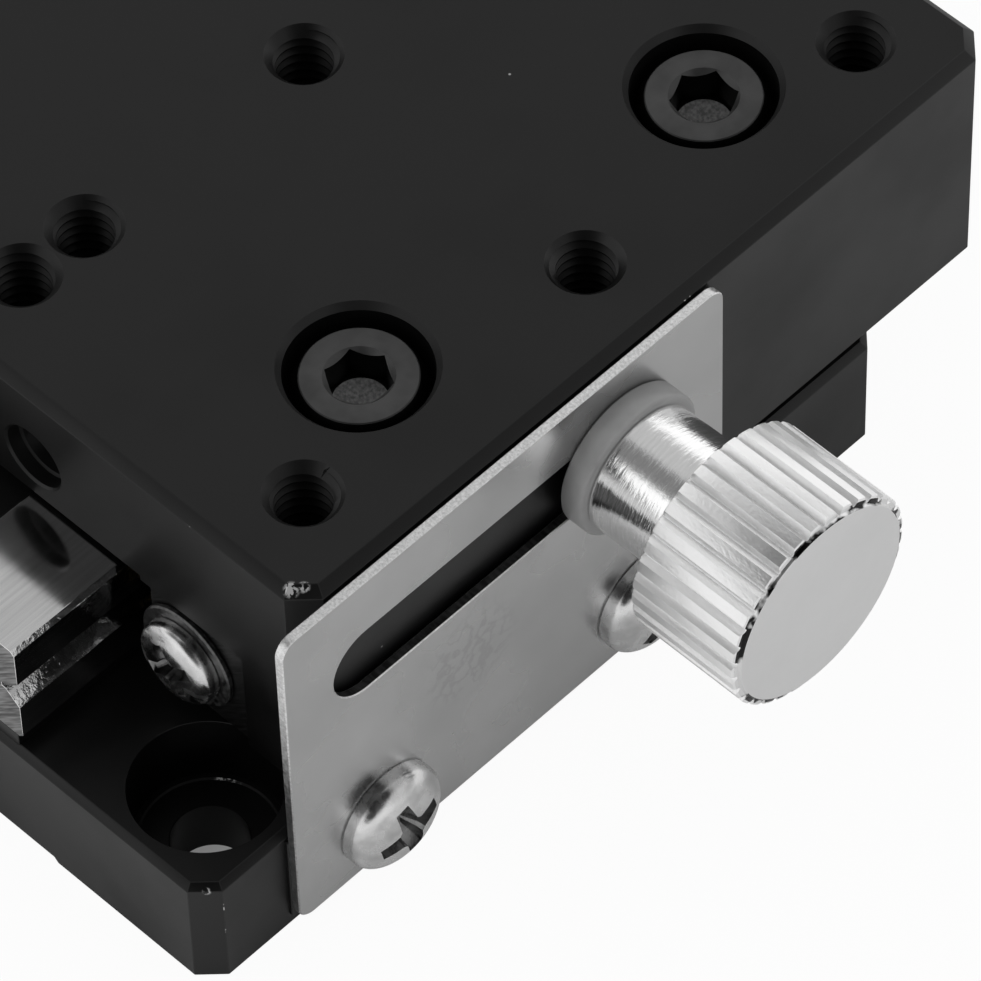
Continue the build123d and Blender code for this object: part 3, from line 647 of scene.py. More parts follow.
def threaded(radius, pitch, length, start=0.0, steps=32):
    """Closed V thread from height start - length up to start, with flats at crest and root."""
    crest, root = radius, radius - 0.54 * pitch
    rows = ((root, 0.0), (root, 0.12), (crest, 0.5), (crest, 0.62))
    turns = int(length / pitch) - 1
    shape = bmesh.new()
    foot = start - length

    def corner(step, row):
        angle = 2 * math.pi * step / steps
        reach, rise = rows[row]
        height = foot + pitch * (step / steps + rise)
        return shape.verts.new(polar(reach, angle, height))

    last = turns * steps
    mesh = {(t, k): corner(t, k) for t in range(last + 1) for k in range(4)}
    mesh.update({(t, 0): corner(t, 0) for t in range(last + 1, last + steps + 1)})

    def at(step, row):
        return mesh[(step, row)] if row < 4 else mesh[(step + steps, 0)]

    for t in range(last):
        for k in range(4):
            shape.faces.new((at(t, k), at(t + 1, k), at(t + 1, k + 1), at(t, k + 1)))
    bottom = [at(t, 0) for t in range(steps + 1)] + [at(0, 3), at(0, 2), at(0, 1)]
    top = [at(last, k) for k in range(4)] + [at(t, 0) for t in range(last + steps, last, -1)]
    for loop, height in ((bottom, foot - radius / 2), (top, start)):
        middle = shape.verts.new((0, 0, height))
        for a, b in zip(loop, loop[1:] + loop[:1]):
            shape.faces.new((a, b, middle))
    return closed(shape)


def hexagon(key):
    """Corners of a hexagon with a given width across its flats."""
    corner = key / 2 / math.cos(math.pi / 6)
    return [polar(corner, k * math.pi / 3) for k in range(6)]


def as_part(shape, number):
    """Mark every face of a shape as one part."""
    for face in shape.faces:
        face.material_index = number
    return shape


def cap_screw(thread, pitch, length, head, head_height, key, socket):
    """Socket head cap screw whose head stands on Z = 0. Part 1 is its sides, part 2 its socket's floor."""
    radius = head / 2
    top = head_height
    profile = [(0, top), (radius * 0.875, top), (radius * 0.895, top - radius * 0.015)]
    profile += [(radius * 0.985, top - radius * 0.14), (radius, top - radius * 0.2)]
    profile += [(radius, radius * 0.06), (radius * 0.94, 0), (0, 0)]
    shape = lathe(profile, 96, worn=(2, 3, 4, 5, 6))
    lead = key * 0.595
    cone = [(0, top + 0.4), (lead + 0.4, top + 0.4), (lead - key * 0.12, top - key * 0.12)]
    cone = lathe(cone + [(0, top - key * 0.13)], 64)
    drill = key * 0.47
    point = [(0, top - socket + 0.2), (drill, top - socket + 0.2), (drill, top - socket)]
    point = lathe(point + [(0, top - socket - key * 0.22)], 48)
    sides = prism(hexagon(key), top - socket, top + 1)
    shape = carved(shape, as_part(sides, 1), cone, as_part(point, 2))
    return gather(shape, threaded(thread / 2, pitch, length, 0.0, 24))


def new_tree(name, **inputs):
    """Geometry tree with named inputs, and its input and output nodes."""
    made = bpy.data.node_groups.new(name, "GeometryNodeTree")
    made.interface.new_socket("Geometry", in_out="INPUT", socket_type="NodeSocketGeometry")
    for label, kind in inputs.items():
        made.interface.new_socket(label.replace("_", " "), in_out="INPUT", socket_type="NodeSocket" + kind)
    made.interface.new_socket("Geometry", in_out="OUTPUT", socket_type="NodeSocketGeometry")
    return made, made.nodes.new("NodeGroupInput").outputs, made.nodes.new("NodeGroupOutput").inputs[0]


def closing(tree, geometry, finish, output):
    """End a tree with real meshes in one finish."""
    real = add_node(tree, "GeometryNodeRealizeInstances", {0: geometry})
    coated = add_node(tree, "GeometryNodeSetMaterial", {0: real.outputs[0], "Material": finish})
    tree.links.new(coated.outputs[0], output)


def grown(name, tree, **values):
    """Plain mesh that a geometry tree makes from its named inputs."""
    holder = in_scene(name, bpy.data.meshes.new(name))
    modifier = holder.modifiers.new("grow", "NODES")
    modifier.node_group = tree
    for item in tree.interface.items_tree:
        label = item.name.replace(" ", "_")
        if item.in_out == "INPUT" and label in values:
            modifier[item.identifier] = values[label]
    mesh = baked(holder, True)
    mesh.name = name
    return mesh


rows_tree, given, output = new_tree(
    "rows_of_pieces", Piece="Object", Columns="Int", Column_step="Vector", Rows="Int", Row_step="Vector",
    Start="Vector", Turn="Vector", Turn_step="Vector", Finish="Material",
)
line = add_node(
    rows_tree, "GeometryNodeMeshLine",
    {"Count": given["Columns"], "Start Location": given["Start"], "Offset": given["Column step"]},
)
stack = add_node(rows_tree, "GeometryNodeMeshLine", {"Count": given["Rows"], "Offset": given["Row step"]})
inputs = {0: stack.outputs[0], "Instance": line.outputs[0]}
spread = add_node(rows_tree, "GeometryNodeInstanceOnPoints", inputs)
points = add_node(rows_tree, "GeometryNodeRealizeInstances", {0: spread.outputs[0]})
source = add_node(rows_tree, "GeometryNodeObjectInfo", {"Object": given["Piece"]})
index = add_node(rows_tree, "GeometryNodeInputIndex").outputs[0]
extra = add_node(rows_tree, "ShaderNodeVectorMath", {0: given["Turn step"], 3: index}, operation="SCALE")
inputs = {0: given["Turn"], 1: extra.outputs[0]}
whole_turn = add_node(rows_tree, "ShaderNodeVectorMath", inputs, operation="ADD")
turn = add_node(rows_tree, "FunctionNodeEulerToRotation", {0: whole_turn.outputs[0]})
copies = add_node(
    rows_tree, "GeometryNodeInstanceOnPoints",
    {0: points.outputs[0], "Instance": source.outputs["Geometry"], "Rotation": turn.outputs[0]},
)
closing(rows_tree, copies.outputs[0], given["Finish"], output)


def rows(name, shape, finish, start, columns=1, step=(1, 0, 0), lines=1, rise=(0, 1, 0), turn=(0, 0, 0),
         twist=(0, 0, 0)):
    """Rows of one small piece, made by the tree and kept as one mesh."""
    model = in_scene(name + "_one", finished(name + "_one", shape, (finish,), 30))
    mesh = grown(
        name, rows_tree, Piece=model, Columns=columns, Column_step=Vector(step) * MM, Rows=lines,
        Row_step=Vector(rise) * MM, Start=Vector(start) * MM, Turn=Vector(turn),
        Turn_step=Vector(twist), Finish=finish,
    )
    bpy.data.objects.remove(model)
    return mesh


def in_rows(name, shape, finish, body, slot, node, start, *layout, **more):
    """Rows of one small piece as a piece in place of one CAD node."""
    return piece(name, rows(name, shape, finish, start, *layout, **more), body, slot, node)


screw = cap_screw(*m3_screw)
in_rows(
    "base_rail_cap_screws", screw.copy(), black_oxide, "base", "black_screw", "base_rail_screws",
    (-rail_screw_pitch / 2, -inner_screw_y, recess_depth),
    2, (rail_screw_pitch, 0, 0), 2, (0, 2 * inner_screw_y, 0), (half_turn, 0, 0), (0, 0, 0.5),
)
in_rows(
    "table_rail_cap_screws", screw, black_oxide, "table", "black_screw", "table_rail_screws",
    (travel_offset - rail_screw_pitch / 2, -outer_screw_y, table_top - recess_depth),
    2, (rail_screw_pitch, 0, 0), 2, (0, 2 * outer_screw_y, 0), (0, 0, 0), (0, 0, 0.4),
)

# Table. An inverted U milled from steel, ground on top and finished in black chrome. It is
# tapped for M3 screws, holds the outer rails in its channel, and is bored for the springs.
table_x = (-13.7, 26.3)
table_low = 7.2
web_low = 13.0
channel_half = 16.15
web_relief = (10.35, 13.3)
table_corner = 1.1
table_recess = 6.2
table_mouth = 0.25
outer_screw_hole = 7.2
table_bevel = 0.45
leg_bevel = 0.2
tap_radius = 1.5
tap_pitch = 0.5
tap_depth = 5.5
tap_mouth = 1.68
inner_pitch = 25.0
lock_axis = (3.3, 14.6)
spring_y = 4.4
spring_z = 15.7
spring_bores = ((3.1, 0.7, 0.1), (2.8, 23.4))
table_pin = (-11.9, 13.3, 4.9)
pin_size = 1.0
pocket = (8.2, 24.8, -6.3, 6.3, 17.6)
pocket_corner = 1.5
anvil_screws = ((-5.7, 14.9), (1.3, 14.9))
preload_pitch = 17.0
preload_tap = (3.0, 4.0)
lock_tap = (3.0, 6.0)
anvil_tap = (2.5, 5.0)


def rounded(x0, x1, y0, y1, radius, steps=6):
    """Rectangle outline with round corners."""
    outline = []
    for number, (x, y) in enumerate(((x1 - radius, y1 - radius), (x0 + radius, y1 - radius),
                                     (x0 + radius, y0 + radius), (x1 - radius, y0 + radius))):
        for k in range(steps + 1):
            dx, dy = polar(radius, quarter * (number + k / steps))
            outline.append((x + dx, y + dy))
    return outline


section = [
    (-half_width, table_low), (-half_width, table_top), (half_width, table_top), (half_width, table_low),
    (channel_half, table_low), (channel_half, web_low), (web_relief[0], web_low), web_relief,
]
section += [(-y, z) for y, z in reversed(section[4:])]
shape = prism(section, *table_x, "X")
corners = [e for e in upright(shape) if all(abs(v.co.y) > half_width - 0.01 for v in e.verts)]
bevelled(shape, corners, table_corner)
bevelled(shape, edges_where(shape, lambda co: co.z > table_top - 0.001), table_bevel)
low_edges = edges_where(shape, lambda co: co.z < table_low + 0.001 and abs(co.y) > half_width - 0.001)
bevelled(shape, low_edges, leg_bevel)
broken(shape)
taps = [(travel_offset + i * mount_pitch / 2, j * mount_pitch / 2) for i in (-1, 0, 1) for j in (-1, 0, 1)]
taps += [(travel_offset + i * inner_pitch / 2, 0) for i in (-1, 1)]
tap_places = [Matrix.Translation((x, y, table_top)) @ Matrix.Rotation(x + y, 4, "Z") for x, y in taps]
threads = placed(threaded(tap_radius, tap_pitch, tap_depth + 1.2, 1.2), *tap_places)
flare = [(0, 0.5), (tap_mouth + 0.5, 0.5), (tap_mouth, 0), (tap_radius - 0.3, -0.5), (0, -0.5)]
mouths = placed(lathe(flare, 48), *tap_places)
rail_places = grid(rail_screw_pitch, 2 * outer_screw_y, table_top, up, (travel_offset, 0))
preload_x = [travel_offset + i * preload_pitch for i in (-1, 0, 1)]
side_holes = gather(
    placed(counterbore(table_recess, recess_depth, mount_hole, outer_screw_hole, table_mouth), *rail_places),
    placed(bore(*lock_tap), facing(lock_axis[0], -half_width, lock_axis[1], (0, -1, 0))),
    placed(bore(*anvil_tap), *[facing(x, half_width, z, (0, 1, 0)) for x, z in anvil_screws]),
    placed(bore(*preload_tap), *[facing(x, half_width, rail_mid, (0, 1, 0)) for x in preload_x]),
)
window = prism(rounded(*pocket[:4], pocket_corner), web_low - 0.5, pocket[4])
ends = [facing(table_x[0], side * spring_y, spring_z, (-1, 0, 0)) for side in (1, -1)]
spring_holes = [placed(bore(*sizes), *ends) for sizes in spring_bores]
pin_x, pin_low, pin_length = table_pin
pin_places = [facing(pin_x, side * spring_y, pin_low, down) for side in (1, -1)]
pin_holes = placed(bore(pin_size, pin_length, 0.05), *pin_places)
shape = carved(shape, threads, mouths, side_holes, window, *spring_holes, pin_holes)
dressed("milled_table", shape, (black_steel, worn_and_lit_edge), "table", "black_steel", "table")

# Outer rails. The same ground bars, turned to face the inner ones and screwed up into the
# table's channel. Their sawn ends take the stop screws, and a far darker tone as painted shade.
# Painted shade: the outer rails' sawn ends take a far lower tone than the inner rails' ends, for the shadow
# they stand in.
outer_end_shade_level = 0.035
outer_steel_shaded_ends = ground_steel("ground_rail_steel_stained_ends", outer_end_shade_level)
for side, name in ((1, "left"), (-1, "right")):
    shape = vee_rail(side * rail_gap_faces[1], side, travel_offset)
    dressed("ground_outer_rail_" + name, shape, (outer_steel_shaded_ends,), "table", "rail_steel", "outer_rail_" + name)

# Stop screws and washers. Bright zinc plated M2 pan heads with a cross recess, on the ends of
# the outer rails, where they overhang the grooves and keep the roller cages in.
stop_y = 12.8
stop_x = 19.75
stop_screw = (2.0, 0.4, 6.0, 4.0, 1.0, 3.0)
stop_washer = (5.0, 2.1, 0.3)
stop_turn = 0.55

bright_zinc, tree, surface, coords = new_finish("bright_zinc", Metallic=1.0)
grain = noise(tree, coords, 5200.0, detail=4.0, rough=0.6)
patch = noise(tree, coords, 1300.0, detail=2.0)
part = add_node(tree, "ShaderNodeAttribute", attribute_name="part").outputs["Fac"]
head_tone = shades(tree, patch, (0.3, 0.55), (0.7, 0.75))
# Painted shade: the walls of the cross recess (part 1) take a far darker tone than the head.
recess_shade_tone = shades(tree, patch, (0.35, 0.1), (0.65, 0.3))
tone = between(tree, part, head_tone, recess_shade_tone)
coat(tree, surface, tone, span(tree, patch, 0.35, 0.65, 0.16, 0.3), 6e-6, grain)


def even_finish(name, scale, tones, gloss, depth, stretch=(1, 1, 1), detail=3.0, **values):
    """Finish whose tone, gloss and relief follow one grain. Tones are two stops, and gloss is a range."""
    made, tree, surface, coords = new_finish(name, **values)
    grain = noise(tree, coords, scale, stretch, detail)
    coat(tree, surface, shades(tree, grain, *tones), span(tree, grain, 0.3, 0.7, *gloss), depth, grain)
    return made


# The stop washers take a very dark metal tone, far darker than the screw heads.
tones = (0.3, 0.06), (0.7, 0.16)
dark_washer_metal = even_finish("dull_zinc_washer", 6000.0, tones, (0.3, 0.5), 3e-6, Metallic=1.0)


def pan_screw(thread, pitch, length, head, head_height, flatness=2.0):
    """Cross recess pan head screw whose head stands on Z = 0. Part 1 is the walls of its recess."""
    radius = head / 2
    rim = head_height * 0.27
    tall = head_height - rim
    power = 2 / flatness
    crown = []
    for k in range(1, 16):
        angle = quarter * k / 16
        crown.append((radius * math.sin(angle) ** power, rim + tall * math.cos(angle) ** power))
    edge = head_height * 0.04
    profile = [(0, head_height)] + crown + [(radius, rim), (radius, edge), (radius - edge, 0), (0, 0)]
    shape = lathe(profile, 72)
    arm = head * 0.33
    half = head * 0.072
    deep = head_height * 0.66
    inner = half * 1.7
    plan = []
    for k in range(4):
        c, s = round(math.cos(k * quarter)), round(math.sin(k * quarter))
        for x, y in ((inner, -half * 1.25), (arm, -half), (arm, half), (inner, half * 1.25)):
            plan.append((x * c - y * s, x * s + y * c))
    wings = bmesh.new()
    rings = []
    for scale, height in ((1.1, head_height + 0.3), (0.92, head_height * 0.75), (0.42, head_height - deep)):
        rings.append([wings.verts.new((x * scale, y * scale, height)) for x, y in plan])
    for low, high in zip(rings, rings[1:]):
        bridge(wings, low, high)
    closed(wings, rings[0], rings[-1])
    for face in wings.faces:
        face.material_index = 1 if abs(face.normal.z) < 0.9 else 0
    shape = carved(shape, wings)
    return gather(shape, threaded(thread / 2, pitch, length, 0.0, 24))


def flat_washer(outer, inner, thick):
    """Washer on Z = 0 with slightly rolled edges."""
    roll = min(thick * 0.25, 0.12)
    a, b = outer / 2, inner / 2
    profile = [(b, roll), (b + roll, 0), (a - roll, 0), (a, roll), (a, thick - roll), (a - roll, thick)]
    return lathe(profile + [(b + roll, thick), (b, thick - roll)], 96, looped=True)


def merged(meshes):
    """One mesh from several that share a finish."""
    whole = bmesh.new()
    for mesh in meshes:
        whole.from_mesh(mesh)
    whole.to_mesh(meshes[0])
    whole.free()
    return meshes[0]


screw = placed(pan_screw(*stop_screw), Matrix.Rotation(stop_turn, 4, "Z"))
washer = flat_washer(*stop_washer)
for name, shape, finish, lift, node in (
    ("stop_screw_heads", screw, bright_zinc, stop_washer[2], "rail_end_screws"),
    ("stop_washers", washer, dark_washer_metal, 0, "rail_end_washers"),
):
    sides = []
    for end in (1, -1):
        start = (travel_offset + end * (stop_x + lift), -stop_y, rail_mid)
        pair = {"lines": 2, "rise": (0, 2 * stop_y, 0), "turn": (0, end * quarter, 0)}
        sides.append(rows(name, shape.copy(), finish, start, **pair))
    shape.free()
    piece(name, merged(sides), "table", "zinc_screw", node)

# Lock plate. Brushed stainless sheet, sheared at its edges, screwed to the base's side. The
# thumbscrew runs in its slot.
plate_x = (-15.5, 9.5)
plate_z = (0.9, 19.55)
plate_y = (-20.15, -20.6)
plate_corner = 0.8
slot_middle = -3.0
slot_half = 8.0
slot_height = 3.7
sheared_break = 0.05
stain_middle = (-5.4, -20.6, 9.4)
stain_reach = 3.4
# Spans over which the sheared edges' painted light and shade change: along X at the left end, and up Z.
left_end_shade_span = (-15.3, -14.9)
painted_light_rise = (8.0, 15.0)
plate_screw = (2.5, 0.45, 5.0, 5.0, 1.65)

plate_steel, tree, surface, coords = new_finish("brushed_stainless", Metallic=1.0)
brush = noise(tree, coords, 6000.0, stretch=(0.25, 1, 1), detail=3.0)
grain = noise(tree, coords, 5200.0, detail=3.0)
worms = noise(tree, coords, 1300.0, detail=2.0, rough=0.5)
cloud = noise(tree, coords, 260.0, detail=2.0)
lines = span(tree, combine(tree, "ABSOLUTE", combine(tree, "SUBTRACT", worms, 0.5), 0.0), 0.0, 0.09, 1.0, 0.0)
away = distance(tree, coords, stain_middle)
near = span(tree, away, stain_reach * MM, stain_reach * MM * 0.4, 0.0, 1.0)
stain = times(tree, lines, near)
clean, stained = times(tree, cloud, 0.16), times(tree, stain, 0.07)
tone = shades(tree, combine(tree, "SUBTRACT", clean, stained), (0.0, 0.46), (0.16, 0.62))
coat(tree, surface, tone, span(tree, cloud, 0.3, 0.7, 0.24, 0.3), 1.6e-6, brush, grain)

# Painted light and shade on the sheared edges: along the plate's left end they take the dark tone, lightening
# towards the top, and elsewhere the light tone.
sheared_edge, tree, surface, coords = new_finish("sheared_steel_edge", Metallic=1.0)
cut = noise(tree, coords, 9000.0, stretch=(1, 0.8, 1), detail=3.0, rough=0.65)
parts = add_node(tree, "ShaderNodeSeparateXYZ", {"Vector": coords}).outputs
end = span(tree, parts["X"], *[MM * x for x in left_end_shade_span], 0.0, 1.0)
low = span(tree, parts["Z"], *[MM * z for z in painted_light_rise], 0.4, 0.95)
share = combine(tree, "MAXIMUM", end, low)
painted_shade, light = [shades(tree, cut, (0.35, low), (0.65, high)) for low, high in ((0.04, 0.22), (0.6, 0.9))]
coat(tree, surface, between(tree, share, painted_shade, light), span(tree, cut, 0.3, 0.7, 0.3, 0.45), 6e-6, cut)

tones = (0.35, 0.06), (0.65, 0.14)
punched_wall = even_finish("punched_steel_wall", 6500.0, tones, (0.35, 0.5), 6e-6, (1, 0.2, 1), Metallic=1.0)

shape = prism(rounded(*plate_x, *plate_z, plate_corner, 8), *plate_y, "Y")
slot = []
for side in (1, -1):
    for k in range(25):
        angle = half_turn * k / 24 - side * quarter
        dx, dz = polar(slot_height / 2, angle)
        slot.append((slot_middle + side * slot_half + dx, lock_axis[1] + dz))
hole = lathe([(0, 1), (1.3, 1), (1.3, -1), (0, -1)], 48)
screw_places = [facing(x, plate_y[1], plate_screw_z, (0, -1, 0)) for x in plate_screw_x]
cutters = gather(prism(slot, plate_y[0] + 1, plate_y[1] - 1, "Y"), placed(hole, *screw_places))
shape = carved(shape, as_part(cutters, 2))
for face in shape.faces:
    if abs(face.normal.y) < 0.5 and face.material_index == 0:
        face.material_index = 1
rims = [e for e in shape.edges if e.is_manifold and e.calc_face_angle() > 1.2]
bevelled(shape, rims, sheared_break, 1)
finishes = plate_steel, sheared_edge, punched_wall
dressed("lock_sheet", shape, finishes, "base", "brushed_plate", "lock_plate", 35)

first, second = plate_screw_x
in_rows(
    "lock_plate_pan_screws", pan_screw(*plate_screw), bright_zinc, "base", "zinc_screw", "lock_plate_screws",
    (first, plate_y[1], plate_screw_z), 2, (second - first, 0, 0),
    turn=(quarter, -0.21, 0), twist=(0, 0.9, 0),
)

# Thumbscrew washer. A ring turned from natural nylon. It lies loose on the thumbscrew's shank,
# between the plate and the neck, so that the screw clamps without marking the plate.
nylon_size = (6.8, 3.2, 1.2)

natural_nylon = even_finish(
    "natural_nylon", 700.0, ((0.3, 0.24), (0.7, 0.3)), (0.3, 0.45), 4e-6,
    IOR=1.53, Subsurface_Weight=0.4, Subsurface_Scale=0.0007, Subsurface_Radius=(1, 1, 1),
)
shape = placed(flat_washer(*nylon_size), facing(lock_axis[0], plate_y[1], lock_axis[1], (0, -1, 0)))
dressed("nylon_washer", shape, (natural_nylon,), "washer", "nylon", "lock_washer", 50)

# Lock thumbscrew. Turned in one piece from nickel plated steel, with a polished neck and a
# straight knurled head whose flat topped ridges run out at a rounded nose.
neck_foot = -21.8
neck_radius = 3.0
neck_length = 4.2
neck_break = 0.08
shank_radius = 1.45
shank_length = 6.9
knob_radius = 5.0
knob_length = 5.75
nose = 0.24
back_bevel = 0.2
ridges = 33
groove_depth = 0.3
ridge_samples = 12
ridge_share = 0.5

nickel, tree, surface, coords = new_finish("nickel_plate", Metallic=1.0)
grain = noise(tree, coords, 8000.0, stretch=(1, 0.6, 1), detail=4.0, rough=0.65)
cloud = noise(tree, coords, 500.0, detail=2.0)
tone = shades(tree, cloud, (0.3, 0.93), (0.7, 1.0))
coat(tree, surface, tone, span(tree, cloud, 0.3, 0.7, 0.37, 0.44), 2.2e-5, grain)

tones = (0.46, 0.02), (0.54, 0.85)
nickel_edge = even_finish("nickel_nose", 900.0, tones, (0.2, 0.4), 1e-5, Metallic=1.0)
# Painted shade: the floors of the knurl's grooves take a darker tone than the ridges.
tones = (0.3, 0.35), (0.7, 0.6)
nickel_groove = even_finish("nickel_groove", 8000.0, tones, (0.3, 0.4), 6e-6, Metallic=1.0)

nickel_face, tree, surface, coords = new_finish("nickel_faced_end", Metallic=1.0)
grain = noise(tree, coords, 3000.0, detail=2.0)
cloud = noise(tree, coords, 300.0, detail=2.0)
tone = shades(tree, cloud, (0.3, 0.79), (0.7, 0.82))
coat(tree, surface, tone, span(tree, grain, 0.3, 0.7, 0.3, 0.36), 5e-7, grain)

nickel_neck, tree, surface, coords = new_finish("nickel_polished_neck", Metallic=1.0)
rings = noise(tree, coords, 7000.0, stretch=(0.12, 1, 0.12), detail=4.0, rough=0.6)
grain = noise(tree, coords, 7500.0, detail=4.0, rough=0.65)
wave = noise(tree, coords, 1500.0, stretch=(0.5, 1, 0.5), detail=3.0, rough=0.6)
tone = shades(tree, rings, (0.3, 0.9), (0.7, 1.0))
heights = rings, times(tree, grain, 0.3), times(tree, wave, 1.2)
coat(tree, surface, tone, span(tree, grain, 0.3, 0.7, 0.04, 0.1), 1.4e-5, *heights)


def knurled(rings, count, depth, samples, groove, looped=False):
    """Shell turned about Z from (radius, height, finish, cut) rings. Where cut is 1, straight grooves
    reach a constant depth below the largest radius, and their floors take the groove's finish."""
    widest = max(turn[0] for turn in rings)
    shape = bmesh.new()
    columns = count * samples
    loops = []
    for radius, height, _, cut in rings:
        loop = []
        for i in range(columns):
            away = abs((i % samples) / samples * 2 - 1)
            dip = min(1.0, max(0.0, (away - ridge_share) / (0.9 - ridge_share)))
            reach = min(radius, widest - depth * dip if cut else radius)
            loop.append(shape.verts.new(polar(reach, 2 * math.pi * i / columns, height)))
        loops.append(loop)
    pairs = list(zip(loops, loops[1:])) + ([(loops[-1], loops[0])] if looped else [])
    for number, (low, high) in enumerate(pairs):
        following = rings[(number + 1) % len(rings)]
        for face in bridge(shape, low, high, following[2]):
            deep = max(math.hypot(v.co.x, v.co.y) for v in face.verts) < widest - depth * 0.85
            if rings[number][3] and following[3] and deep:
                face.material_index = groove
    if not looped:
        shape.faces.new(loops[0]).material_index = rings[0][2]
        shape.faces.new(loops[-1]).material_index = rings[-1][2]
    return closed(shape)


back = neck_length
front = neck_length + knob_length
rings = [(shank_radius, -shank_length, 2, 0), (shank_radius, 0, 2, 0), (neck_radius - neck_break, 0, 2, 0)]
rings += [(neck_radius, neck_break, 2, 0), (neck_radius, back, 2, 0)]
rings.append((knob_radius - groove_depth - back_bevel, back, 0, 0))
for k in range(1, 5):
    angle = quarter * k / 4
    radius = knob_radius - (groove_depth + back_bevel) * (1 - math.sin(angle))
    rings.append((radius, back + back_bevel * (1 - math.cos(angle)), 0, 1))
for inset, height in ((0, nose), (0.03, nose - 0.05), (0.12, nose - 0.09)):
    rings.append((knob_radius - inset, front - height, 0, 1))
for inset, height in ((groove_depth, nose - 0.11), (0.33, 0.07), (0.36, 0.02), (0.4, 0)):
    rings.append((knob_radius - inset, front - height, 3, 0))
rings.append((knob_radius - 0.45, front, 1, 0))
turned = knurled(rings, ridges, groove_depth, ridge_samples, 4)
shape = placed(turned, facing(lock_axis[0], neck_foot, lock_axis[1], (0, -1, 0)))
finishes = nickel, nickel_face, nickel_neck, nickel_edge, nickel_groove
dressed("knurled_thumbscrew", shape, finishes, "thumbscrew", "nickel", "lock_thumbscrew", 32)

# Preload set screws. Black oxide M3 set screws with a hex socket, in the table's left leg. They
# press the outer rail inwards and take up the play of the rollers.
preload_face = 19.15
preload_length = 3.0
preload_key = 1.5

shape = threaded(tap_radius, tap_pitch, preload_length + 1, 0.5)
trim = [(0, 0), (1.2, 0), (1.55, -0.3), (1.55, -2.7), (1.1, -preload_length), (0, -preload_length)]
shape = carved(shape, lathe(trim), how="INTERSECT")
shape = carved(shape, prism(hexagon(preload_key), -1.4, 1))
in_rows(
    "preload_screws", shape, black_oxide, "table", "black_screw", "preload_set_screws",
    (travel_offset - preload_pitch, preload_face, rail_mid), 3, (preload_pitch, 0, 0),
    turn=(-quarter, 0, 0), twist=(0, 0.7, 0),
)

# Roller cages and rollers. A punched brass strip stands in each gap between the rails and holds
# seven polished steel rollers. They lean by 45 degrees, each the other way from the next.
rail_line = 10.0
cage_x = 3.15
cage_size = (27.6, 0.8, 4.4)
cage_corner = 0.7
cage_break = 0.05
window_size = (2.16, 2.918)
window_corner = 0.2
roller_pitch = 4.0
roller_count = 7
roller_size = (1.96, 1.9)
roller_break = 0.14

brass_tones = (0.3, (0.5, 0.34, 0.14, 1)), (0.7, (0.68, 0.48, 0.21, 1))
brass = even_finish("punched_brass", 5000.0, brass_tones, (0.22, 0.36), 1e-6, (0.2, 1, 1), Metallic=1.0)

tones = (0.3, 0.62), (0.7, 0.72)
bearing_steel = even_finish(
    "polished_bearing_steel", 5000.0, tones, (0.08, 0.16), 3e-7, detail=2.0, Metallic=1.0,
)


def pin(radius, low, high, chamfer, steps=48):
    """Round pin about Z with a chamfer at each end."""
    profile = [(0, low), (radius - chamfer, low), (radius, low + chamfer)]
    return lathe(profile + [(radius, high - chamfer), (radius - chamfer, high), (0, high)], steps)


first_x = cage_x - (roller_count - 1) / 2 * roller_pitch
wide, tall = window_size[0] / 2, window_size[1] / 2
long, thick, high = [size / 2 for size in cage_size]
for side, name in ((1, "left"), (-1, "right")):
    line = side * rail_line
    outline = rounded(cage_x - long, cage_x + long, rail_mid - high, rail_mid + high, cage_corner)
    shape = broken(prism(outline, line - thick, line + thick, "Y"), cage_break, 0)
    windows = []
    for i in range(roller_count):
        x = first_x + i * roller_pitch
        outline = rounded(x - wide, x + wide, rail_mid - tall, rail_mid + tall, window_corner, 3)
        windows.append(prism(outline, line - 1, line + 1, "Y"))
    shape = carved(shape, gather(*windows))
    dressed("punched_cage_" + name, shape, (brass,), name + "_cage", "brass", "roller_cage_" + name)
    leaning = []
    for first, count, lean in ((0, 4, 1), (1, 3, -1)):
        shape = pin(roller_size[0] / 2, -roller_size[1] / 2, roller_size[1] / 2, roller_break)
        start = (first_x + first * roller_pitch, line, rail_mid)
        leaning.append(rows(
            "crossed_rollers_" + name, shape, bearing_steel, start, count, (2 * roller_pitch, 0, 0),
            turn=(lean * quarter / 2, 0, 0),
        ))
    piece("crossed_rollers_" + name, merged(leaning), name + "_cage", "roller_steel", "rollers_" + name)

# Spring post and pins. A milled post stands on the rib, held by a screw from under the base. It
# carries a ground cross pin, and two more pins are pressed into the table across its bores.
rib_top = 12.0
post_size = (3.0, 4.4, 4.9)
post_bevel = 0.25
cross_pin_length = 11.8
post_screw = (2.5, 0.45, 11.5, 4.5, 2.5, 2.0, 1.3)
pin_break = 0.12

long, wide, high = post_size
shape = block((post_x - long / 2, -wide / 2, rib_top), (post_x + long / 2, wide / 2, rib_top + high))
bevelled(shape, edges_where(shape, lambda co: co.z > rib_top + high - 0.001), post_bevel)
broken(shape)
across = facing(post_x, 0, spring_z, (0, 1, 0))
shape = carved(shape, placed(pin(pin_size / 2, -3, 3, 0.1, 32), across))
dressed("milled_spring_post", shape, (black_steel, worn_and_lit_edge), "base", "black_steel", "spring_post")

shape = placed(pin(pin_size / 2, -cross_pin_length / 2, cross_pin_length / 2, pin_break, 32), across)
dressed("ground_cross_pin", shape, (bearing_steel,), "base", "roller_steel", "spring_cross_pin")

in_rows(
    "ground_spring_pins", pin(pin_size / 2, 0, pin_length, pin_break, 32), bearing_steel, "table",
    "roller_steel", "table_spring_pins", (pin_x, -spring_y, pin_low), lines=2, rise=(0, 2 * spring_y, 0),
)

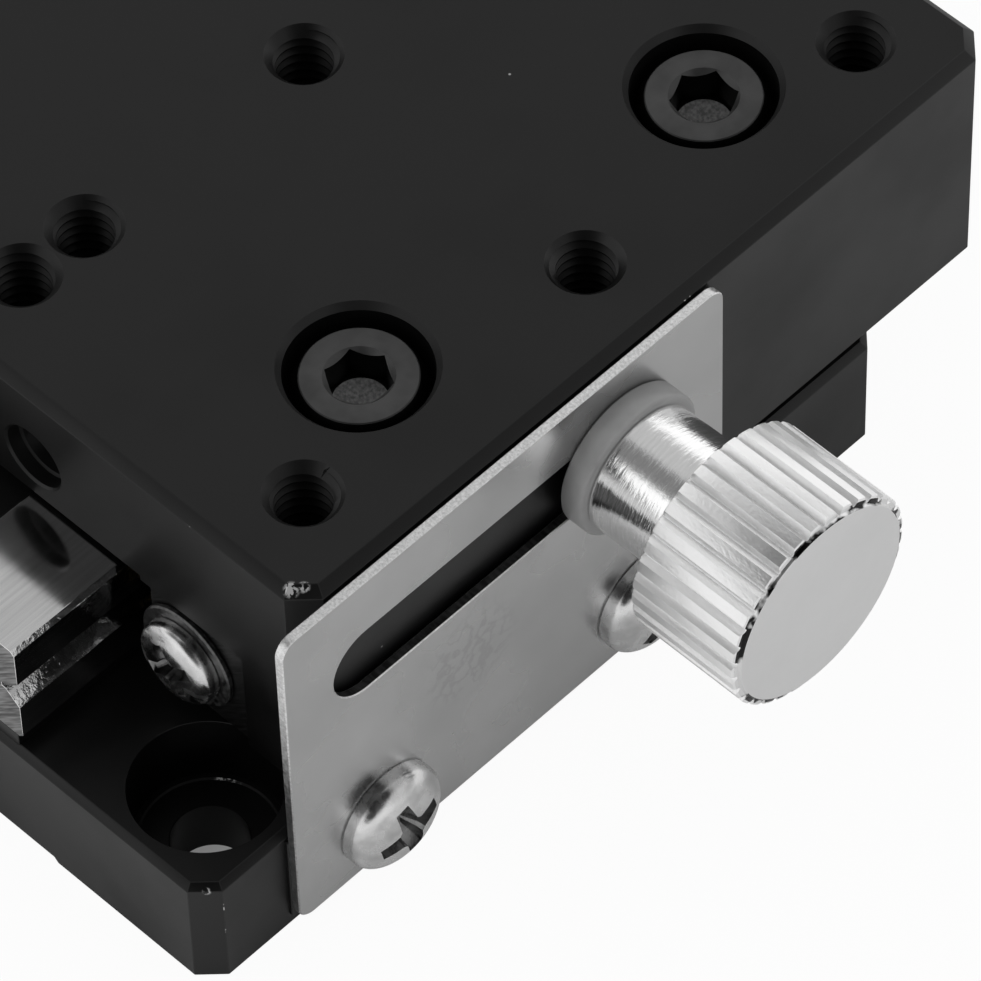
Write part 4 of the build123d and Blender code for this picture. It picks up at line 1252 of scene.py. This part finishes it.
shape = placed(cap_screw(*post_screw), facing(post_x, 0, post_hole[1], down))
dressed("post_cap_screw", shape, (black_oxide,), "base", "black_screw", "spring_post_screw", 30)

# Return springs. Steel wire wound into a coil in each bore, with a hook at each end. They run
# from the table's pins to the post's pin, and pull the anvil towards the spindle.
wire = 0.36
coil_radius = 1.12
coil_ends = (-10.38, 8.68)
coil_turns = 40
coil_steps = 16
coil_lead = 0.36
wire_sides = 8
hook_radius = 1.1

tones = (0.3, 0.3), (0.7, 0.48)
spring_wire = even_finish("drawn_spring_wire", 6000.0, tones, (0.2, 0.34), 8e-7, Metallic=1.0)

wire_tree, given, output = new_tree(
    "wire_along_path", Path="Object", Radius="Float", Sides="Int", Finish="Material",
)
source = add_node(wire_tree, "GeometryNodeObjectInfo", {"Object": given["Path"]})
path = add_node(wire_tree, "GeometryNodeMeshToCurve", {0: source.outputs["Geometry"]})
inputs = {"Resolution": given["Sides"], "Radius": given["Radius"]}
section = add_node(wire_tree, "GeometryNodeCurvePrimitiveCircle", inputs)
inputs = {"Curve": path.outputs[0], "Profile Curve": section.outputs[0], "Fill Caps": True}
tube = add_node(wire_tree, "GeometryNodeCurveToMesh", inputs)
closing(wire_tree, tube.outputs[0], given["Finish"], output)


def hook():
    """A hook's points from its free end to the coil: distance out from the coil, across and aside."""
    points = []
    for k in range(31):
        angle = math.radians(-25 - 245 * k / 30)
        points.append((hook_radius - hook_radius * math.cos(angle), hook_radius * math.sin(angle), 0.0))
    points += [(0.7, coil_radius, 0.0), (0.35, coil_radius, 0.01), (0.14, 1.115, 0.06), (0.03, 1.1, 0.2)]
    return points


def spring_points(y):
    """Centre line of one spring, from the table's pin to the post's pin."""
    near = [(coil_ends[0] - out, y + across, spring_z + aside) for out, across, aside in hook()]
    far = [(coil_ends[1] + out, y + aside, spring_z + across) for out, across, aside in reversed(hook())]
    lead = math.asin(coil_lead / coil_radius)
    total = 2 * math.pi * coil_turns + quarter - 2 * lead
    count = coil_turns * coil_steps
    coil = []
    for k in range(count + 1):
        angle = lead + total * k / count
        x = coil_ends[0] + (coil_ends[1] - coil_ends[0]) * k / count
        dy, dz = polar(coil_radius, angle)
        coil.append((x, y + dy, spring_z + dz))
    return near + coil + far


for side, name in ((1, "left"), (-1, "right")):
    points = [Vector(point) * MM for point in spring_points(side * spring_y)]
    path_mesh = bpy.data.meshes.new("spring_path")
    path_mesh.from_pydata(points, [(i, i + 1) for i in range(len(points) - 1)], [])
    path = in_scene("spring_path", path_mesh)
    sizes = {"Radius": wire / 2 * MM, "Sides": wire_sides}
    mesh = grown("wound_spring_" + name, wire_tree, Path=path, Finish=spring_wire, **sizes)
    bpy.data.objects.remove(path)
    mesh.shade_smooth()
    mesh.set_sharp_from_angle(angle=math.radians(50))
    spring = in_scene("wound_spring_" + name, mesh)
    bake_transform(spring)
    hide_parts("return_spring_" + name)

# Micrometer bracket. Milled steel in black chrome, screwed to the base's left side by its foot.
# Its block is bored for the micrometer's stem and slit, and a clamp screw closes the slit.
bracket_block = ((8.5, 20.5, 0.4), (18.5, 33.5, 19.6))
bracket_round = 4.0
bracket_bevel = 0.4
bracket_foot = ((-9.0, 20.0, 0.4), (18.5, 23.0, 6.4))
foot_hole = (3.4, 4.0)
mic_y = 27.0
mic_z = 9.5
stem_radius = 4.75
slit = 1.0
clamp_place = (13.5, 33.5, 16.95)
clamp_recess = (4.2, 2.2)
clamp_tap = (2.0, 14)
clamp_screw = (2.0, 0.4, 10.0, 3.8, 2.0, 1.5, 1.1)

(x0, y0, z0), (x1, y1, z1) = bracket_block
outline = [(y0, z0), (y0, z1), (y1, z1)]
for k in range(13):
    angle = -quarter * k / 12
    outline.append((y1 - bracket_round * (1 - math.cos(angle)), z0 + bracket_round * (1 + math.sin(angle))))
shape = prism(outline, x0, x1, "X")
bevelled(shape, edges_where(shape, lambda co: co.z > z1 - 0.001), bracket_bevel)
broken(shape)
shape = carved(shape, broken(block(*bracket_foot)), how="UNION")
stem_bore = [(0, -6), (stem_radius, -6), (stem_radius, 4.85), (stem_radius + 0.25, 5.1), (0, 5.1)]
stem_bore = placed(lathe(stem_bore, 96), facing((x0 + x1) / 2, mic_y, mic_z, (1, 0, 0)))
slot = block((x0 - 1, mic_y - slit / 2, mic_z), (x1 + 1, mic_y + slit / 2, z1 + 1))
clamp_cutter = placed(counterbore(*clamp_recess, *clamp_tap), facing(*clamp_place, (0, 1, 0)))
foot_holes = [facing(x, bracket_foot[1][1], bracket_screw_z, (0, 1, 0)) for x in bracket_screw_x]
foot_holes = placed(bore(*foot_hole), *foot_holes)
shape = carved(shape, stem_bore, slot, gather(clamp_cutter, foot_holes))
dressed("milled_bracket", shape, (black_steel, worn_and_lit_edge), "base", "black_steel", "micrometer_bracket")

first, second = bracket_screw_x
in_rows(
    "bracket_cap_screws", cap_screw(*m3_screw), black_oxide, "base", "black_screw", "bracket_screws",
    (first, bracket_foot[1][1], bracket_screw_z), 2, (second - first, 0, 0),
    turn=(-quarter, 0, 0), twist=(0, 0.8, 0),
)

clamp_seat = (clamp_place[0], clamp_place[1] - clamp_recess[1], clamp_place[2])
shape = placed(cap_screw(*clamp_screw), facing(*clamp_seat, (0, 1, 0)))
dressed("clamp_cap_screw", shape, (black_oxide,), "base", "black_screw", "bracket_clamp_screw", 30)

# Micrometer sleeve. Turned steel in satin chrome, clamped by its stem. Its barrel carries a
# datum line and half millimetre marks, filled with black.
barrel_radius = 4.65
collar_radius = 5.4
barrel_end = 36.0
zero_x = 34.0
scale_length = 13
mark_width = 0.07
mark_proud = 0.008
mark_sunk = 0.03
figure_half = 0.019
sleeve_bores = (1.8, 2.6)
bore_step = 12.0
stem_span = (8.0, 18.5)
collar_end = 19.7
sleeve_break = 0.15

satin_chrome, tree, surface, coords = new_finish("satin_chrome", Metallic=1.0)
turned = noise(tree, coords, 7000.0, stretch=(1, 0.15, 0.15), detail=3.0)
grain = noise(tree, coords, 8000.0, detail=2.0)
tone = shades(tree, turned, (0.3, 0.5), (0.7, 0.6))
coat(tree, surface, tone, span(tree, turned, 0.3, 0.7, 0.28, 0.38), 1.2e-6, turned, grain)

tones = (0.3, 0.008), (0.7, 0.016)
scale_ink = even_finish("black_scale_filler", 6000.0, tones, (0.4, 0.55), 5e-7, detail=2.0, IOR=1.5)


def wrapped(shape, radius_at=lambda x: barrel_radius, start=0.0):
    """Wrap a flat shape round the X axis, on the barrel or on another radius. X stays, Y runs round
    from the top, and Z adds to the radius."""
    for vertex in shape.verts:
        x, around, proud = vertex.co
        radius = radius_at(x)
        vertex.co = (x, *polar(radius + proud, quarter - start - around / radius))
    return closed(shape)


def sliced(shape, step=0.12):
    """Cut a flat shape into short lengths along Y, so it follows a curve when it is wrapped."""
    ends = [vertex.co.y for vertex in shape.verts]
    low, high = min(ends), max(ends)
    for k in range(1, int((high - low) / step) + 1):
        geometry = shape.verts[:] + shape.edges[:] + shape.faces[:]
        bmesh.ops.bisect_plane(shape, geom=geometry, plane_co=(0, low + k * step, 0), plane_no=(0, 1, 0))
    return shape


def line_along(start, end):
    """Flat filled line along X."""
    return block((start, -mark_width / 2, -mark_sunk), (end, mark_width / 2, mark_proud))


def line_round(x, around, long):
    """Filled line that runs round the barrel from a place."""
    low = (x - mark_width / 2, around, -mark_sunk)
    return wrapped(sliced(block(low, (x + mark_width / 2, around + long, mark_proud))))


def figures(text, x, around, size):
    """A number as flat filled figures, centred on a place."""
    letters = bpy.data.curves.new(text, "FONT")
    letters.body = text
    letters.size = size
    letters.align_x = "CENTER"
    letters.align_y = "CENTER"
    letters.extrude = figure_half
    letters.resolution_u = 4
    mesh = baked(in_scene(text, letters))
    shape = bmesh.new()
    shape.from_mesh(mesh)
    bpy.data.meshes.remove(mesh)
    bmesh.ops.remove_doubles(shape, verts=shape.verts, dist=1e-5)
    bmesh.ops.translate(shape, vec=(x, around, mark_proud - figure_half), verts=shape.verts)
    return sliced(shape)


tight, wide = sleeve_bores
rim = collar_radius - sleeve_break
stem = [(tight, stem_span[0]), (stem_radius - 0.3, stem_span[0]), (stem_radius, stem_span[0] + 0.3)]
stem += [(stem_radius, stem_span[1]), (rim, stem_span[1]), (collar_radius, stem_span[1] + sleeve_break)]
stem += [(collar_radius, collar_end - sleeve_break), (rim, collar_end), (barrel_radius, collar_end)]
stem += [(barrel_radius, barrel_end - sleeve_break), (barrel_radius - sleeve_break, barrel_end)]
stem += [(wide, barrel_end), (wide, bore_step), (tight, bore_step)]
mic_place = Matrix.Translation((0, mic_y, mic_z))
along_x = Vector((1, 0, 0)).to_track_quat("Z", "Y").to_matrix().to_4x4()
shape = placed(lathe(stem, 128, looped=True), mic_place @ along_x)
sleeve_mesh = finished("turned_sleeve", shape, (satin_chrome,))

ticks = gather(line_round(0, 0.1, 1.5), line_round(-0.5, -1.1, 1.0))
tick_mesh = rows("ticks", ticks, scale_ink, (zero_x, mic_y, mic_z), scale_length, (-1, 0, 0))
lines = [wrapped(line_along(zero_x - scale_length - 0.5, zero_x + 0.5))]
for value in (0, 5, 10):
    lines.append(line_round(zero_x - value, 1.7, 0.6))
    lines.append(wrapped(figures(str(value), zero_x - value, 3.0, 1.2)))
lines.append(line_round(zero_x - scale_length, 0.1, 1.5))
line_mesh = finished("scale", placed(gather(*lines), mic_place), (scale_ink,))


def with_scale(name, metal, *scales):
    """A piece's mesh joined with its filled marks, which take the second finish."""
    whole = bmesh.new()
    whole.from_mesh(metal)
    for scale in scales:
        first = len(whole.faces)
        whole.from_mesh(scale)
        whole.faces.ensure_lookup_table()
        for face in whole.faces[first:]:
            face.material_index = 1
    mesh = bpy.data.meshes.new(name)
    whole.to_mesh(mesh)
    whole.free()
    mesh.materials.append(satin_chrome)
    mesh.materials.append(scale_ink)
    return mesh


mesh = with_scale("marked_sleeve", sleeve_mesh, tick_mesh, line_mesh)
piece("marked_sleeve", mesh, "base", "satin_chrome", "micrometer_sleeve")

# Micrometer spindle and end screw. A ground steel spindle with a fine thread runs in the sleeve
# and pushes the anvil. A slotted screw in its end keeps the thimble on.
spindle_tip = 4.02
spindle_radius = 1.75
thread_span = (25.5, 49.2)
journal = (50.4, 53.1)
journal_radius = 2.0
end_bore = (1.0, 49.6)
spindle_thread = (2.5, 0.5)
flange_radius = 3.5
end_head = (2.8, 0.7)
end_slot = 0.7
end_thread = (1.0, 0.4, 3.5)

tip = [(0, spindle_tip), (spindle_radius - 0.2, spindle_tip), (spindle_radius, spindle_tip + 0.2)]
shaft = lathe(tip + [(spindle_radius, thread_span[0] + 1), (0, thread_span[0] + 1)], 64)
thread = threaded(*spindle_thread, thread_span[1] - thread_span[0], 0, 32)
thread = placed(thread, Matrix.Translation((0, 0, thread_span[1])))
wide, start = flange_radius, thread_span[1]
near, far = journal
radius, inner = journal_radius, end_bore[0]
flange = [(0, start), (wide - 0.1, start), (wide, start + 0.1), (wide, near - 0.1), (wide - 0.1, near)]
flange += [(radius, near), (radius, far - 0.1), (radius - 0.1, far), (inner, far), end_bore, (0, end_bore[1])]
shape = placed(gather(shaft, thread, lathe(flange, 64)), mic_place @ along_x)
dressed("ground_spindle", shape, (bearing_steel,), "spindle", "roller_steel", "micrometer_spindle")

wide, top = end_head
shape = lathe([(0, 0), (wide, 0), (wide, top - 0.15), (wide - 0.15, top), (0, top)], 64)
shape = carved(shape, block((-4, -end_slot / 2, top - 0.35), (4, end_slot / 2, top + 1)))
shape = gather(shape, threaded(*end_thread, 0, 24))
shape = placed(shape, mic_place @ along_x @ Matrix.Translation((0, 0, far)))
dressed("slotted_end_screw", shape, (black_oxide,), "spindle", "black_screw", "spindle_end_screw", 30)

# Thimble. Turned steel in satin chrome over the barrel, with a straight knurled grip. Its
# bevelled front carries fifty marks, and the spindle moves half a millimetre in a turn.
thimble_front = 33.8
thimble_back = 53.0
thimble_radius = 6.5
thimble_bore = 4.75
cone_front = (5.1, 2.8)
grip_span = (40.0, 51.2)
grip_ridges = 60
grip_depth = 0.18
divisions = 50
rest_division = 20
rim_end = 52.15
spigot = (4.4, 53.8)
spigot_bore = 2.9
journal_hole = (2.05, 50.5)


def cone_radius(x):
    """Radius of the thimble's bevelled front at x."""
    share = min(1, max(0, (x - thimble_front) / cone_front[1]))
    return cone_front[0] + (thimble_radius - cone_front[0]) * share


wide = thimble_radius
start, end = grip_span
front = thimble_front
profile = [(thimble_bore, front), (cone_front[0], front), (wide, front + cone_front[1]), (wide, start - 0.6)]
profile += [(wide - 0.3, start - 0.5), (wide - 0.3, start - 0.1)]
rings = [(radius, x, 0, 0) for radius, x in profile]
for radius, x in ((wide - 0.05, start), (wide, start + 0.1), (wide, end - 0.1), (wide - 0.05, end)):
    rings.append((radius, x, 0, 1))
back = thimble_back
profile = [(wide - 0.3, end + 0.1), (wide - 0.3, end + 0.4), (wide - 0.1, end + 0.5)]
profile += [(wide - 0.1, rim_end), (wide - 0.5, rim_end + 0.05), (wide - 1.0, back)]
profile += [(spigot[0], back), spigot, (spigot_bore, spigot[1]), (spigot_bore, back)]
profile += [(journal_hole[0], back), journal_hole, (thimble_bore, journal_hole[1])]
rings += [(radius, x, 0, 0) for radius, x in profile]
shape = placed(knurled(rings, grip_ridges, grip_depth, 6, 0, looped=True), mic_place @ along_x)
thimble_mesh = finished("turned_thimble", shape, (satin_chrome,), 30)
step = 2 * math.pi / divisions
marks = []
for k in range(5):
    long = 1.2 if k == 0 else 0.85
    marks.append(wrapped(line_along(front + 0.08, front + 0.08 + long), cone_radius, -k * step))
marks = rows(
    "marks", gather(*marks), scale_ink, (0, mic_y, mic_z), divisions // 5, (0, 0, 0),
    turn=(-rest_division * step, 0, 0), twist=(5 * step, 0, 0),
)
numbers = []
for value in range(0, divisions, 5):
    flat = figures(str(value), front + 2.0, 0, 0.95)
    numbers.append(wrapped(flat, cone_radius, (rest_division - value) * step))
number_mesh = finished("numbers", placed(gather(*numbers), mic_place), (scale_ink,))
mesh = with_scale("marked_thimble", thimble_mesh, marks, number_mesh)
piece("marked_thimble", mesh, "thimble", "satin_chrome", "thimble")

# Thimble cap. A turned cap in the same satin chrome, pressed on the thimble's spigot over the
# end screw, with a shallow groove and a countersunk centre.
cap_radius = 5.0
cap_end = 57.0
cap_hollow = (3.1, 54.4)
cap_groove = (54.9, 55.4)
groove_sunk = 0.2
cap_centre = (1.15, 0.25)

wide = cap_radius
near, far = cap_groove
outer, inner = cap_centre
cap = [(0, cap_hollow[1]), cap_hollow, (cap_hollow[0], spigot[1]), spigot, (spigot[0], back)]
cap += [(wide - 0.1, back), (wide, back + 0.1), (wide, near), (wide - groove_sunk, near + 0.15)]
cap += [(wide - groove_sunk, far - 0.15), (wide, far), (wide, cap_end - 0.5), (wide - 0.5, cap_end)]
cap += [(outer + 0.15, cap_end), (outer, cap_end - 0.1), (inner, cap_end - 0.1), (0, cap_end - 0.3)]
shape = placed(lathe(cap, 96), mic_place @ along_x)
dressed("turned_cap", shape, (satin_chrome,), "thimble", "satin_chrome", "thimble_cap")

# Anvil block and pin. A milled angle in black chrome, screwed to the table's left side. A
# hardened pin pressed into its arm takes the spindle's push.
anvil_x = (-7.7, 3.3)
anvil_plate = (3.5, 17.4)
anvil_arm = (10.0, 7.0, 12.0)
anvil_edge = 0.4
anvil_pin = (1.5, 5.0)
anvil_head = (2.3, 0.7)
anvil_hole = (2.6, 4.5, 0.1)
anvil_screw = (2.5, 0.45, 8.0, 4.5, 2.5, 2.0, 1.3)

y0 = half_width
y1, y2 = y0 + anvil_plate[0], y0 + anvil_arm[0]
high = anvil_plate[1]
_, arm_low, arm_high = anvil_arm
outline = [(y0, arm_low), (y0, high), (y1, high), (y1, arm_high), (y2, arm_high), (y2, arm_low)]
shape = prism(outline, *anvil_x, "X")
outer = edges_where(shape, lambda co: co.y > y2 - 0.01 or co.z > high - 0.01)
lengthwise = [e for e in outer if abs((e.verts[0].co - e.verts[1].co).normalized().x) > 0.99]
bevelled(shape, lengthwise, anvil_edge)
broken(shape)
seats = [facing(x, y1, z, (0, 1, 0)) for x, z in anvil_screws]
pin_place = facing(anvil_x[1], mic_y, mic_z, (1, 0, 0))
pin_radius, pin_depth = anvil_pin
pin_hole = placed(bore(2 * pin_radius, pin_depth, 0.1), pin_place)
shape = carved(shape, gather(placed(bore(*anvil_hole), *seats), pin_hole))
dressed("milled_anvil_block", shape, (black_steel, worn_and_lit_edge), "table", "black_steel", "anvil_block")

head, tall = anvil_head
profile = [(0, -pin_depth), (pin_radius - 0.2, -pin_depth), (pin_radius, -pin_depth + 0.2), (pin_radius, 0)]
profile += [(head - 0.05, 0), (head, 0.05), (head, tall - 0.12), (head - 0.12, tall), (0, tall)]
shape = placed(lathe(profile, 72), pin_place)
dressed("hardened_anvil_pin", shape, (bearing_steel,), "table", "roller_steel", "anvil_pin")

(first, z), (second, _) = anvil_screws
in_rows(
    "anvil_cap_screws", cap_screw(*anvil_screw), black_oxide, "table", "black_screw", "anvil_block_screws",
    (first, y1, z), 2, (second - first, 0, 0), turn=(-quarter, 0, 0), twist=(0, 0.9, 0),
)

sizes = {"cad": [list(v) for v in cad_box], "visual": [list(v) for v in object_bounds()]}
